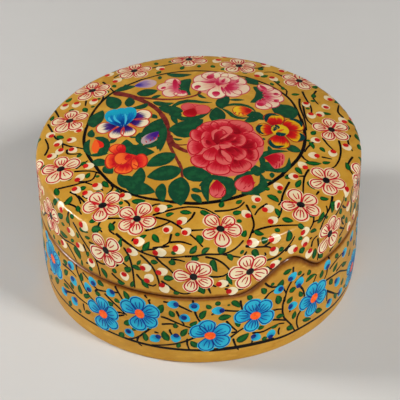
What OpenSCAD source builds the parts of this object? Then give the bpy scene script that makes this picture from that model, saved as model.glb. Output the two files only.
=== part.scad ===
// Round lidded box of moulded papier mache, painted and lacquered.
// The shell is moulded whole and sawn in two along a line that is level all
// round but for one wave, so the lid sits down only one way round.
// Angles go round from the front (-Y) towards the right (+X).

/* [Shell] */
// Outside radius of the wall
wall_r = 50; // [46:0.5:55]
// Height of the middle of the domed top above the table
top_z = 52; // [50:0.5:60]
// Rise of the dome from the wall to its middle
dome_rise = 6.7; // [4:0.1:8]
// Radius of the edge between the dome and the wall
shoulder_r = 2; // [1.4:0.1:3]
// Radius of that edge on the inside
shoulder_in_r = 1.2; // [0.6:0.1:2]
// Thickness of the lid's shell
lid_t = 2.4; // [2.2:0.1:2.6]
// Thickness of the base's wall
base_t = 2.7; // [2.6:0.1:3]

/* [Foot] */
// How far the wall draws in by the time it reaches the table
foot_draw = 0.8; // [0.3:0.1:1]
// Height at which the wall starts to draw in
foot_z = 14; // [10:0.5:18]
// Radius of the wall's bottom edge
foot_edge_r = 0.8; // [0.3:0.1:0.9]
// Thickness of the floor disc
floor_t = 2.4; // [1.8:0.1:4]
// Depth of the step in the wall that the floor disc is pasted into
floor_step = 0.6; // [0.4:0.05:0.7]

/* [Sawn seam] */
// Height of the level part of the seam
seam_z = 26.75; // [22:0.25:28]
// Height of the wave above the level part
wave_h = 8.5; // [4:0.5:9]
// Angle where the wave starts to rise
wave_start = 12; // [0:1:15]
// Angle where the wave is highest
wave_top = 31.5; // [28:0.5:34]
// Angle where the wave has come back down
wave_end = 46.5; // [44:0.5:60]
// Gap between the lid's edge and the base's rim when the box is shut
seam_gap = 0.15; // [0.1:0.05:0.3]
// Roundness of the lid's edge, outside
lid_lip_r = 0.8; // [0.4:0.1:1]
// Roundness of the base's rim, outside
base_lip_r = 1.1; // [0.4:0.1:1.4]
// Roundness of both on the inside
inner_lip_r = 0.35; // [0.2:0.05:0.5]

/* [Collar] */
// Thickness of the collar pasted inside the base
collar_t = 1.4; // [1:0.1:2]
// Height of the collar above the top of the wave
collar_over_wave = 1.7; // [1:0.1:2]
// Room between the collar and the inside of the lid
collar_play = 0.3; // [0.2:0.05:0.4]

/* [Smoothness] */
// Angle between two sections along the wave
wave_step = 1.25; // [1:0.25:2]
// Angle between two sections round the rest of the box
plain_step = 3.6; // [3:0.2:4]

/* [Hidden] */
// Paste between the base's wall and what is stuck inside it
paste_t = 0.04;
base_in_r = wall_r - base_t;
step_r = base_in_r + floor_step;
collar_r = base_in_r - paste_t;
collar_z = seam_z + wave_h + collar_over_wave;
// The lid is rubbed down inside until it slips over the collar
lid_in_r = collar_r + collar_play;
// The dome is part of a sphere
dome_r = (pow(wall_r, 2) + pow(dome_rise, 2)) / (2 * dome_rise);
dome_mid_z = top_z - dome_r;
lip_steps = 4;
shoulder_steps = 4;
dome_steps = 7;
foot_steps = 5;
round_fn = 120;

// Rise of the seam: half a cosine up and a steeper one down
function wave(a) =
    a <= wave_start || a >= wave_end ? 0
    : a < wave_top ? wave_h * (1 - cos(180 * (a - wave_start) / (wave_top - wave_start))) / 2
    : wave_h * (1 + cos(180 * (a - wave_top) / (wave_end - wave_top))) / 2;

// Even steps from one angle up to another, leaving out the last
function steps(from, to, size) =
    let (n = ceil((to - from) / size))
    [for (i = [0 : n - 1]) from + (to - from) * i / n];

sections = concat(
    steps(wave_start, wave_top, wave_step),
    steps(wave_top, wave_end, wave_step),
    steps(wave_end, wave_start + 360, plain_step));

// A profile point is [radius, height, share of the wave that it follows]
function arc(mid, r, from, to, n, share) =
    [for (i = [0 : n])
        let (a = from + (to - from) * i / n)
        [mid[0] + r * cos(a), mid[1] + r * sin(a), share]];

// Outside radius of the wall, which draws in towards the table
function wall_at(z) =
    z >= foot_z ? wall_r : wall_r - foot_draw * pow(1 - z / foot_z, 2);

// Dome from its apex outwards, then the edge that touches dome and wall
function crown(dome, wall, edge, dome_n, edge_n) =
    let (edge_mid_r = wall - edge)
    let (edge_up = sqrt(pow(dome - edge, 2) - pow(edge_mid_r, 2)))
    let (meet = atan2(edge_up, edge_mid_r))
    let (edge_mid = [edge_mid_r, dome_mid_z + edge_up])
    concat(
        arc([0, dome_mid_z], dome, 90, meet, dome_n, 0),
        arc(edge_mid, edge, meet * (1 - 1 / edge_n), 0, edge_n - 1, 0));

function reversed(list) = [for (i = [len(list) - 1 : -1 : 0]) list[i]];

// Corners of a swept shell, one section after another
function swept_points(profile) =
    [for (a = sections)
        for (p = profile)
            [p[0] * sin(a), -p[0] * cos(a), p[1] + p[2] * wave(a)]];

// Two triangles for each step along the profile and round the box
function swept_faces(n, last) =
    let (m = len(sections))
    [for (i = [0 : m - 1])
        for (j = [0 : last])
            let (k = (i + 1) % m, l = (j + 1) % n)
            each [[i * n + j, i * n + l, k * n + l], [i * n + j, k * n + l, k * n + j]]];

// A shell whose profile closes on itself, such as a wall
module swept_wall(profile) {
    n = len(profile);
    polyhedron(swept_points(profile), swept_faces(n, n - 1), convexity = 6);
}

// A shell whose profile starts and ends on the axis, such as a lid
module swept_cap(profile) {
    n = len(profile) - 2;
    m = len(sections);
    ring = [for (i = [1 : n]) profile[i]];
    poles = [[0, 0, profile[0][1]], [0, 0, profile[n + 1][1]]];
    fans = [for (i = [0 : m - 1])
        let (k = (i + 1) % m)
        each [[m * n, i * n, k * n], [m * n + 1, k * n + n - 1, i * n + n - 1]]];
    polyhedron(
        concat(swept_points(ring), poles),
        concat(swept_faces(n, n - 2), fans),
        convexity = 6);
}

// Domed top and wall moulded in one, with the wave along the edge
module lid_shell() {
    edge_z = seam_z + seam_gap / 2;
    color("goldenrod")
    swept_cap(concat(
        crown(dome_r, wall_r, shoulder_r, dome_steps, shoulder_steps),
        arc([wall_r - lid_lip_r, edge_z + lid_lip_r], lid_lip_r, 0, -90, lip_steps, 1),
        arc([lid_in_r + inner_lip_r, edge_z + inner_lip_r], inner_lip_r, -90, -180, 2, 1),
        reversed(crown(dome_r - lid_t, lid_in_r, shoulder_in_r, dome_steps - 2, 3))));
}

// Wall with the same wave along its rim, and a step for the floor below
module base_wall() {
    rim_z = seam_z - seam_gap / 2;
    foot_r = wall_at(foot_edge_r);
    foot = [for (i = [0 : foot_steps - 1])
        let (z = foot_z + (foot_edge_r - foot_z) * i / foot_steps)
        [wall_at(z), z, 0]];
    color("goldenrod")
    swept_wall(concat(
        arc([wall_r - base_lip_r, rim_z - base_lip_r], base_lip_r, 90, 0, lip_steps, 1),
        foot,
        arc([foot_r - foot_edge_r, foot_edge_r], foot_edge_r, 0, -90, lip_steps, 0),
        [[step_r, 0, 0], [step_r, floor_t, 0], [base_in_r, floor_t, 0]],
        arc([base_in_r + inner_lip_r, rim_z - inner_lip_r], inner_lip_r, 180, 90, 2, 1)));
}

// Disc pasted up into the step of the wall, level with its bottom edge
module base_floor() {
    color("black")
    cylinder(r = step_r - paste_t, h = floor_t, $fn = round_fn);
}

// Band pasted inside the base, with a round top edge that guides the lid
module inner_collar() {
    edge_r = collar_t / 2;
    color("black")
    rotate_extrude($fn = round_fn)
    translate([collar_r - collar_t, floor_t]) {
        square([collar_t, collar_z - edge_r - floor_t]);
        translate([edge_r, collar_z - edge_r - floor_t]) circle(r = edge_r, $fn = 32);
    }
}

lid_shell();
base_wall();
base_floor();
inner_collar();
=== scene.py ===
import math
import random

import bmesh
import bpy
import numpy as np
from mathutils import Matrix, Vector


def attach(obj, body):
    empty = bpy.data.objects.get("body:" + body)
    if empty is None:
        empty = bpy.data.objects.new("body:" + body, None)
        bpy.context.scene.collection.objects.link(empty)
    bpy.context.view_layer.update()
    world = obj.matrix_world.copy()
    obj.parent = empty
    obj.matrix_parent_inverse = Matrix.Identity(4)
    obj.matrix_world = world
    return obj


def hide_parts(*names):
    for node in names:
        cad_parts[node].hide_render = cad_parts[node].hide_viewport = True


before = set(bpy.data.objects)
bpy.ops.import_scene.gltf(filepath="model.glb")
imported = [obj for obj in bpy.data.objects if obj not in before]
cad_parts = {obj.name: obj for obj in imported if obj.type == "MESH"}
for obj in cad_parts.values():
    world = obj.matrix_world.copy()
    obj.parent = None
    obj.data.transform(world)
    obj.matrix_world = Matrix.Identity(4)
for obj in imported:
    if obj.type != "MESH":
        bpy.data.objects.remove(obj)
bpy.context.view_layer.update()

# Floor disc of the base. It is a pasteboard disc, blacked and lacquered by hand,
# and pasted up into a step in the bottom edge of the wall.


def pigment(red, green, blue):
    """A colour mixed on the 0 to 255 scale, as the shader wants it."""
    def thin(c):
        c = c / 255
        return c / 12.92 if c <= 0.04045 else ((c + 0.055) / 1.055) ** 2.4
    return (thin(red), thin(green), thin(blue), 1)


class Lacquer:
    """A painted and varnished surface, mixed from shader nodes."""

    def __init__(self, name, coat=0.2, coat_rough=0.14):
        self.surface = bpy.data.materials.new(name)
        self.surface.use_nodes = True
        self.tree = self.surface.node_tree
        self.shader = self.tree.nodes["Principled BSDF"]
        self.shader.inputs["Coat Weight"].default_value = coat
        self.shader.inputs["Coat Roughness"].default_value = coat_rough
        self.shader.inputs["Specular IOR Level"].default_value = 0.04
        self.place = self.node("ShaderNodeTexCoord").outputs["Object"]

    def feed(self, socket, value):
        """Links another node to a socket, or sets the socket to a plain value."""
        if isinstance(value, bpy.types.NodeSocket):
            self.tree.links.new(value, socket)
        else:
            socket.default_value = value

    def node(self, kind, *values, **settings):
        """A node fed in the order of its sockets; None leaves one as it is."""
        made = self.tree.nodes.new(kind)
        for key, value in settings.items():
            setattr(made, key, value)
        for socket, value in zip(made.inputs, values):
            if value is not None:
                self.feed(socket, value)
        return made

    def math(self, operation, *values):
        return self.node("ShaderNodeMath", *values, operation=operation).outputs[0]

    def stretched(self, scale, turn=(0, 0, 0), place=None):
        """Coordinates scaled along each axis, as a brush drags paint one way."""
        return self.node("ShaderNodeMapping", place or self.place, None, turn, scale).outputs[0]

    def mottle(self, size, detail=3.0, rough=0.55, place=None):
        """Soft cloudy variation; size is the width of a cloud in millimetres."""
        cloud = self.node("ShaderNodeTexNoise", place or self.place)
        for name, value in (("Scale", 1000 / size), ("Detail", detail), ("Roughness", rough)):
            cloud.inputs[name].default_value = value
        return cloud.outputs["Fac"]

    def between(self, fac, low, high):
        """Fac stretched so that low gives 0 and high gives 1, softly."""
        step = self.node("ShaderNodeMapRange", fac, low, high, interpolation_type="SMOOTHSTEP")
        return step.outputs["Result"]

    def stir(self, fac, first, second):
        """Two paints stirred together by fac."""
        mix = self.node("ShaderNodeMix", data_type="RGBA")
        sockets = {socket.identifier: socket for socket in mix.inputs}
        for name, value in (("Factor_Float", fac), ("A_Color", first), ("B_Color", second)):
            self.feed(sockets[name], value)
        return next(s for s in mix.outputs if s.identifier == "Result_Color")

    def finish(self, colour, shine, height, depth, smooth=0.3, dull=0.5):
        """Links up the colour, the dullness and an unevenness depth millimetres deep."""
        rough = self.node("ShaderNodeMapRange", shine, 0, 1, smooth, dull)
        bump = self.node("ShaderNodeBump")
        bump.inputs["Strength"].default_value = 1
        bump.inputs["Distance"].default_value = depth / 1000
        self.feed(bump.inputs["Height"], height)
        self.feed(self.shader.inputs["Base Color"], colour)
        self.feed(self.shader.inputs["Roughness"], rough.outputs["Result"])
        self.feed(self.shader.inputs["Normal"], bump.outputs["Normal"])
        return self.surface


def black_lacquer():
    """Lamp black in varnish, with brush streaks and brown where it is rubbed."""
    mix = Lacquer("black_lacquer", 0.3, 0.2)
    streak = mix.mottle(1.2, 4, place=mix.stretched((1, 1, 0.12)))
    cloud = mix.mottle(9)
    black = mix.stir(mix.between(streak, 0.35, 0.7), pigment(14, 12, 12), pigment(34, 29, 26))
    worn = mix.stir(mix.between(cloud, 0.56, 0.74), black, pigment(52, 38, 28))
    return mix.finish(worn, cloud, mix.mottle(0.7), 0.03)


black_inside = black_lacquer()


def blacken(node):
    """Gives a piece of the solid model its black lacquer."""
    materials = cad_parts[node].data.materials
    materials.clear()
    materials.append(black_inside)


blacken("base_floor")

# Collar. It is a band of card, bent round and pasted inside the base's wall so
# that it stands above the rim and guides the lid. It is blacked like the floor.

blacken("inner_collar")

# Wall of the base. It is moulded from paper pulp on a form, sawn through along
# the waved seam, primed, then given a gold ground and lacquer, black inside.

wall_r = 50.0
base_in_r = 47.3
floor_r, floor_t = 47.9, 2.4
seam_z, gap = 26.75, 0.15
wave_h, wave_start, wave_top, wave_end = 8.5, 12.0, 31.5, 46.5
foot_z, foot_draw, foot_edge = 14.0, 0.8, 0.8
base_lip, inner_lip = 1.1, 0.35
rim_z = seam_z - gap / 2
# Distances from the sawn edge at which the wall has one more ring of points
edge_rings = (1.7, 2.6, 3.6)
foot_rings = (14, 11, 8.5, 6, 4, 2.2)
steps_round = 384
# Gold reaches over the edges to these radii, and the black starts inside them
base_gold_r, lid_gold_r = 48.2, 48.6


def wave(turn):
    """Height of the seam's wave at an angle in radians from the front."""
    deg = (np.degrees(turn) + 180) % 360 - 180
    up = (1 - np.cos(np.pi * (deg - wave_start) / (wave_top - wave_start))) / 2
    down = (1 + np.cos(np.pi * (deg - wave_top) / (wave_end - wave_top))) / 2
    rise = np.where(deg < wave_top, up, down)
    return np.where((deg <= wave_start) | (deg >= wave_end), 0.0, wave_h * rise)


def wall_at(z):
    """Radius of the wall, which draws in towards the table."""
    return wall_r - foot_draw * np.clip(1 - z / foot_z, 0, 1) ** 2


def corner(mid_r, mid_z, radius, start, end, steps):
    """Points round a corner of a profile, at angles in degrees."""
    turns = [math.radians(start + (end - start) * i / steps) for i in range(steps + 1)]
    return [(mid_r + radius * math.cos(a), mid_z + radius * math.sin(a)) for a in turns]


def gold_lacquer():
    """Bronze powder ground in amber varnish, wiped on in uneven brushfuls.
    Along the sawn seam it browns: painted shade of the groove, with some grime.
    """
    mix = Lacquer("gold_lacquer", 0.3, 0.12)
    cloud = mix.mottle(16, 2)
    smear = mix.mottle(4.5, 4, place=mix.stretched((1, 1, 2.4), (0, 0, 0.5)))
    gold = mix.stir(mix.between(cloud, 0.35, 0.68), pigment(191, 138, 44), pigment(203, 152, 53))
    gold = mix.stir(mix.between(smear, 0.5, 0.8), gold, pigment(216, 166, 66))
    gold = mix.stir(mix.between(smear, 0.46, 0.2), gold, pigment(184, 124, 34))
    speck = mix.between(mix.mottle(0.35, 2, 0.7), 0.6, 0.72)
    gold = mix.stir(mix.math("MULTIPLY", speck, 0.28), gold, pigment(150, 96, 28))
    # Brown towards the sawn seam: painted shade of the seam groove and of the lid's overhang, with some
    # real grime in the cut.
    seam_shade_and_grime = mix.node("ShaderNodeAttribute", attribute_name="seam_shade_and_grime").outputs["Fac"]
    ragged = mix.math("MULTIPLY_ADD", mix.mottle(1.6, 4), 0.5, -0.25)
    dark_reach = mix.math("ADD", seam_shade_and_grime, ragged)
    gold = mix.stir(mix.between(dark_reach, 0.02, 0.6), gold, pigment(146, 88, 18))
    gold = mix.stir(mix.between(dark_reach, 0.45, 1.0), gold, pigment(90, 44, 8))
    uneven = mix.math("ADD", mix.mottle(5, 1), mix.mottle(0.5, 1))
    return mix.finish(gold, smear, uneven, 0.025, 0.34, 0.52)


gold_ground = gold_lacquer()


def moulded_shell(name, runs, seam_shade_and_grime, outside, closed):
    """Turns a profile round the box and lets its edge follow the wave.

    Each run of the profile's points says how far it moves with the wave. The
    third argument is the height of the sawn edge, how far painted shade with
    some grime reaches from it, and how much further it reaches where the edge
    climbs.
    """
    edge, dark_reach, further = seam_shade_and_grime
    bm = bmesh.new()
    share = bm.verts.layers.float.new("share")
    dark = bm.verts.layers.float.new("seam_shade_and_grime")
    points = []
    for run, moves in runs:
        for r, z in run:
            point = bm.verts.new((0, -r / 1000 if r > 1e-6 else 0, z / 1000))
            point[share] = moves
            point[dark] = abs(z - edge)
            points.append(point)
    pairs = list(zip(points, points[1:]))
    if closed:
        pairs.append((points[-1], points[0]))
    strip = [bm.edges.new(pair) for pair in pairs]
    bmesh.ops.spin(bm, geom=points + strip, axis=(0, 0, 1), cent=(0, 0, 0), steps=steps_round,
                   angle=math.tau, use_merge=True)
    bmesh.ops.remove_doubles(bm, verts=bm.verts, dist=1e-6)
    bmesh.ops.recalc_face_normals(bm, faces=bm.faces)
    for v in bm.verts:
        climb = float(wave(math.atan2(v.co.x, -v.co.y)))
        v.co.z += climb * v[share] / 1000
        # Painted seam shade and grime fade away from the edge and change their reach where the wave
        # climbs; on the base this is a painted shadow of the lid's lip.
        v[dark] = max(0.0, 1 - v[dark] / (dark_reach + further * min(climb / 3, 1)))
    mesh = bpy.data.meshes.new(name)
    mesh.materials.append(gold_ground)
    mesh.materials.append(black_inside)
    for face in bm.faces:
        face.smooth = True
        face.material_index = 0 if outside(face.calc_center_median() * 1000) else 1
    bm.to_mesh(mesh)
    bm.free()
    shell = bpy.data.objects.new(name, mesh)
    bpy.context.scene.collection.objects.link(shell)
    return shell


foot_r = float(wall_at(foot_edge))
base_runs = [
    (corner(wall_r - base_lip, rim_z - base_lip, base_lip, 90, 0, 6), 1),
    ([(wall_r, rim_z - down) for down in edge_rings], 1),
    ([(float(wall_at(z)), z) for z in foot_rings], 0),
    (corner(foot_r - foot_edge, foot_edge, foot_edge, 0, -90, 5), 0),
    ([(floor_r, 0), (floor_r, floor_t), (base_in_r, floor_t)], 0),
    (corner(base_in_r + inner_lip, rim_z - inner_lip, inner_lip, 180, 90, 3), 1),
]


def gold_side_of_base(middle):
    return math.hypot(middle.x, middle.y) > base_gold_r


# The tuple gives the seam's height and how far its painted shade and grime reach.
base_shell = moulded_shell("base_shell", base_runs, (rim_z, 1.4, 1.8), gold_side_of_base, True)
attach(base_shell, "base")
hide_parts("base_wall")

# Black line and twigs painted round the base. They are thin lamp black strokes,
# laid freehand with a fine brush, a little thicker where the brush was pressed.

tone_names = ("heart", "middle", "rim")
blanks = {}


def blank(steps, rows):
    """A flat dab of paint, steps long and rows across, made once and reused."""
    if (steps, rows) not in blanks:
        bm = bmesh.new()
        bmesh.ops.create_grid(bm, x_segments=steps, y_segments=rows, size=1)
        bmesh.ops.translate(bm, verts=bm.verts, vec=(0, 0, 1))
        raised = bmesh.ops.extrude_face_region(bm, geom=bm.faces[:])
        lower = [g for g in raised["geom"] if isinstance(g, bmesh.types.BMVert)]
        bmesh.ops.translate(bm, verts=lower, vec=(0, 0, -1))
        bmesh.ops.recalc_face_normals(bm, faces=bm.faces)
        for face in bm.faces:
            face.smooth = abs(face.normal.z) > 0.5
        for edge in bm.edges:
            edge.smooth = all(face.smooth for face in edge.link_faces)
        mesh = bpy.data.meshes.new("blank")
        bm.to_mesh(mesh)
        bm.free()
        mesh.uv_layers.new(name="OFBake")
        mesh.uv_layers.new(name="brush")
        for tone in tone_names:
            mesh.color_attributes.new(tone, "FLOAT_COLOR", "POINT")
        flat = np.empty(len(mesh.vertices) * 3)
        mesh.vertices.foreach_get("co", flat)
        corners = np.empty(len(mesh.loops), dtype=np.int32)
        mesh.loops.foreach_get("vertex_index", corners)
        blanks[steps, rows] = mesh, flat.reshape(-1, 3), corners
    return blanks[steps, rows]


def drawn(points):
    """A smooth line through given points, as many close points."""
    p = np.array(points, dtype=float)
    if len(p) == 2:
        return p[0] + (p[1] - p[0]) * np.linspace(0, 1, 9)[:, None]
    p = np.vstack([2 * p[0] - p[1], p, 2 * p[-1] - p[-2]])
    t = np.linspace(0, 1, 8, endpoint=False)[:, None]
    runs = [0.5 * (2 * b + (c - a) * t + (2 * a - 5 * b + 4 * c - d) * t**2
            + (3 * b - a - 3 * c + d) * t**3) for a, b, c, d in zip(p, p[1:], p[2:], p[3:])]
    return np.vstack(runs + [p[-2:-1]])


# How wide a mark is from where it starts, t = 0, to its tip, t = 1
def as_line(t, blunt):
    ends = np.clip(np.minimum(t, 1 - t) / max(blunt, 1e-6), 0, 1)
    return np.sqrt(np.clip(1 - (1 - ends) ** 2, 0, 1))


def as_stroke(t, blunt):
    return as_line(t, blunt) * (1.05 - 0.4 * t)


def as_round(t, blunt=0):
    return np.sqrt(np.clip(1 - (2 * t - 1) ** 2, 0, 1))


def tapering(late, full):
    """A form that is widest the later along, and the fuller, by two powers."""
    return lambda t, blunt=0: np.clip(np.sin(np.pi * t**late), 0, 1) ** full


as_petal = tapering(1.35, 0.55)
as_paddle = tapering(1.75, 0.58)
as_leaf = tapering(0.85, 0.75)
as_bud = tapering(0.8, 0.55)
as_bell = tapering(2.1, 0.5)
as_drop = tapering(0.68, 0.65)

# Spacing of a mark's points where the surface bends, along and across it
bend_step, bend_row = 0.42, 0.55
# Marks that cross lie a hair apart, and their undersides are sunk in the gold
hair, sunk = 0.0004, -0.03
# Least width of a mark and how far ahead its direction is read, as shares
thinnest, ahead = 0.02, 0.03
# Room left at a sawn edge, where marks that would run over it are pressed
# together, how strongly, from how far, and how far the skin may lean there
edge_room, press, press_from, steepest = 0.03, 0.02, 2, 0.97
round_box = math.tau * wall_r


class Paint:
    """One paint on one part of the box, built up mark by mark."""

    def __init__(self, name, skin, chart, height):
        self.name, self.skin, self.chart, self.height = name, skin, chart, height
        self.bm = bmesh.new()
        self.marks = 0

    def on_bend(self, u, z, room):
        """True where a mark reaches the rounded rim and must follow it closely."""
        return bool(np.any(z + room > seam_z - base_lip + wave(u / wall_r)))

    def mark(self, points, width, form=as_leaf, steps=6, rows=2, tones=None, reach=0.5, lift=0.0):
        """Lays one mark along a line of points, in millimetres on the skin.

        Form is its outline, and steps and rows say how finely it is made. Reach
        is how far along the middle tone lies, and lift is height above the layer.
        """
        line = drawn(points)
        run = np.concatenate([[0], np.cumsum(np.hypot(*np.diff(line, axis=0).T))])
        long = run[-1]
        if self.on_bend(line[:, 0], line[:, 1], width / 2):
            steps = max(steps, math.ceil(long / bend_step))
            rows = max(rows, math.ceil(width / bend_row))
        mesh, flat, corners = blank(steps, rows)
        t = (1 - np.cos(np.pi * (flat[:, 0] + 1) / 2)) / 2

        def along(share):
            return np.stack([np.interp(share * long, run, line[:, k]) for k in (0, 1)])

        here = along(t)
        way = along(np.clip(t + ahead, 0, 1)) - along(np.clip(t - ahead, 0, 1))
        way /= np.maximum(np.hypot(*way), 1e-9)
        half = width / 2 * np.maximum(form(t, width / 2 / long), thinnest)
        u = here[0] - way[1] * half * flat[:, 1]
        v = here[1] + way[0] * half * flat[:, 1]
        self.marks += 1
        up = self.height + lift + hair * (self.marks % 10)
        up = np.where(flat[:, 2] > 0.5, up, sunk)
        mesh.vertices.foreach_set("co", (self.skin(u, v, up) / 1000).ravel())
        mesh.uv_layers["OFBake"].data.foreach_set("uv", self.chart(u, v)[corners].ravel())
        depth = t ** (math.log(0.5) / math.log(reach))
        brush = np.stack([flat[:, 1], depth], axis=1)
        mesh.uv_layers["brush"].data.foreach_set("uv", brush[corners].ravel())
        if tones:
            for layer, tone in zip(tone_names, tones):
                mesh.color_attributes[layer].data.foreach_set("color", np.tile(tone, len(t)))
        self.bm.from_mesh(mesh)

    def dry(self, body, material, slot):
        """Finishes the paint as one piece that moves with a body of the box."""
        mesh = bpy.data.meshes.new(self.name)
        self.bm.to_mesh(mesh)
        self.bm.free()
        mesh.materials.append(material)
        mesh.uv_layers["OFBake"].active_render = True
        piece = bpy.data.objects.new(self.name, mesh)
        bpy.context.scene.collection.objects.link(piece)
        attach(piece, body)


def round_to_box(turn, r, z):
    """Places at an angle in radians from the front, a radius and a height."""
    return np.stack([r * np.sin(turn), -r * np.cos(turn), z + 0 * r], axis=-1)


# Lowest height that paint reaches above the table
lowest = 0.9


def on_base(u, z, up):
    """A point u millimetres round the base from the front, on its gold skin."""
    turn = u / wall_r
    top = rim_z + wave(turn)
    z = np.clip(z, lowest, top - edge_room - press * np.clip(top + press_from - z, 0, press_from))
    bend = np.clip((z - top + base_lip) / base_lip, 0, steepest)
    flat = np.sqrt(1 - bend**2)
    r = wall_at(z) - base_lip * (1 - flat)
    return round_to_box(turn, r + flat * up, z + bend * up)


# Width of the sheet that the base's paint is charted on, how far left of its
# middle a strip starts, and how high a strip is
base_sheet, strip_start, strip_high = 112, 14, 28


def base_chart(u, z):
    """The base's wall unrolled and laid in four strips on a square sheet."""
    strip = int(np.mean(u) % round_box // (round_box / 4))
    along = (u - strip * round_box / 4 + round_box / 2) % round_box - round_box / 2
    return np.stack([along + strip_start, z + strip_high * strip], axis=-1) / base_sheet


def deg(points):
    """Points given in degrees round the wall and millimetres up it."""
    return [(math.radians(a) * wall_r, z) for a, z in points]


def lamp_black():
    """Lamp black strokes, browner where the brush ran dry."""
    mix = Lacquer("lamp_black")
    dry = mix.between(mix.mottle(2.5), 0.45, 0.7)
    black = mix.stir(dry, pigment(8, 6, 8), pigment(24, 15, 12))
    return mix.finish(black, mix.mottle(1), mix.mottle(0.4, 1), 0.01)


black_paint = lamp_black()
# Heights of the layers of paint above the gold
twig_up, leaf_up, petal_up, line_up, eye_up = 0.03, 0.04, 0.05, 0.07, 0.09
base_black = Paint("base_twigs", on_base, base_chart, twig_up)

# The line above the foot, stroke by stroke in degrees and height, and its width
foot_line = [
    ([(-64, 5.3), (-56, 5.6), (-46, 6.1), (-36, 6.3), (-26, 6.1)], 0.75),
    ([(-28, 6.2), (-18, 6.0), (-8, 6.0), (4, 5.9)], 0.95),
    ([(2, 5.9), (10, 5.9), (18, 5.8), (26, 5.4)], 1.4),
    ([(24, 5.3), (30, 4.8), (40, 4.9), (50, 4.2), (56, 3.5), (66, 3.1)], 0.95),
    ([(64, 3.1), (76, 4.1), (92, 5.1), (108, 5.3)], 0.75),
    ([(106, 5.3), (122, 5.6), (138, 5.5), (154, 5.8)], 0.8),
    ([(152, 5.8), (168, 5.9), (184, 5.6), (200, 5.5)], 0.85),
    ([(198, 5.5), (216, 5.7), (232, 5.9), (246, 5.5)], 0.75),
    ([(244, 5.5), (260, 5.3), (280, 5.2), (298, 5.4)], 0.8),
]
for stroke, width in foot_line:
    base_black.mark(deg(stroke), width, as_line, 32, 1)

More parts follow.
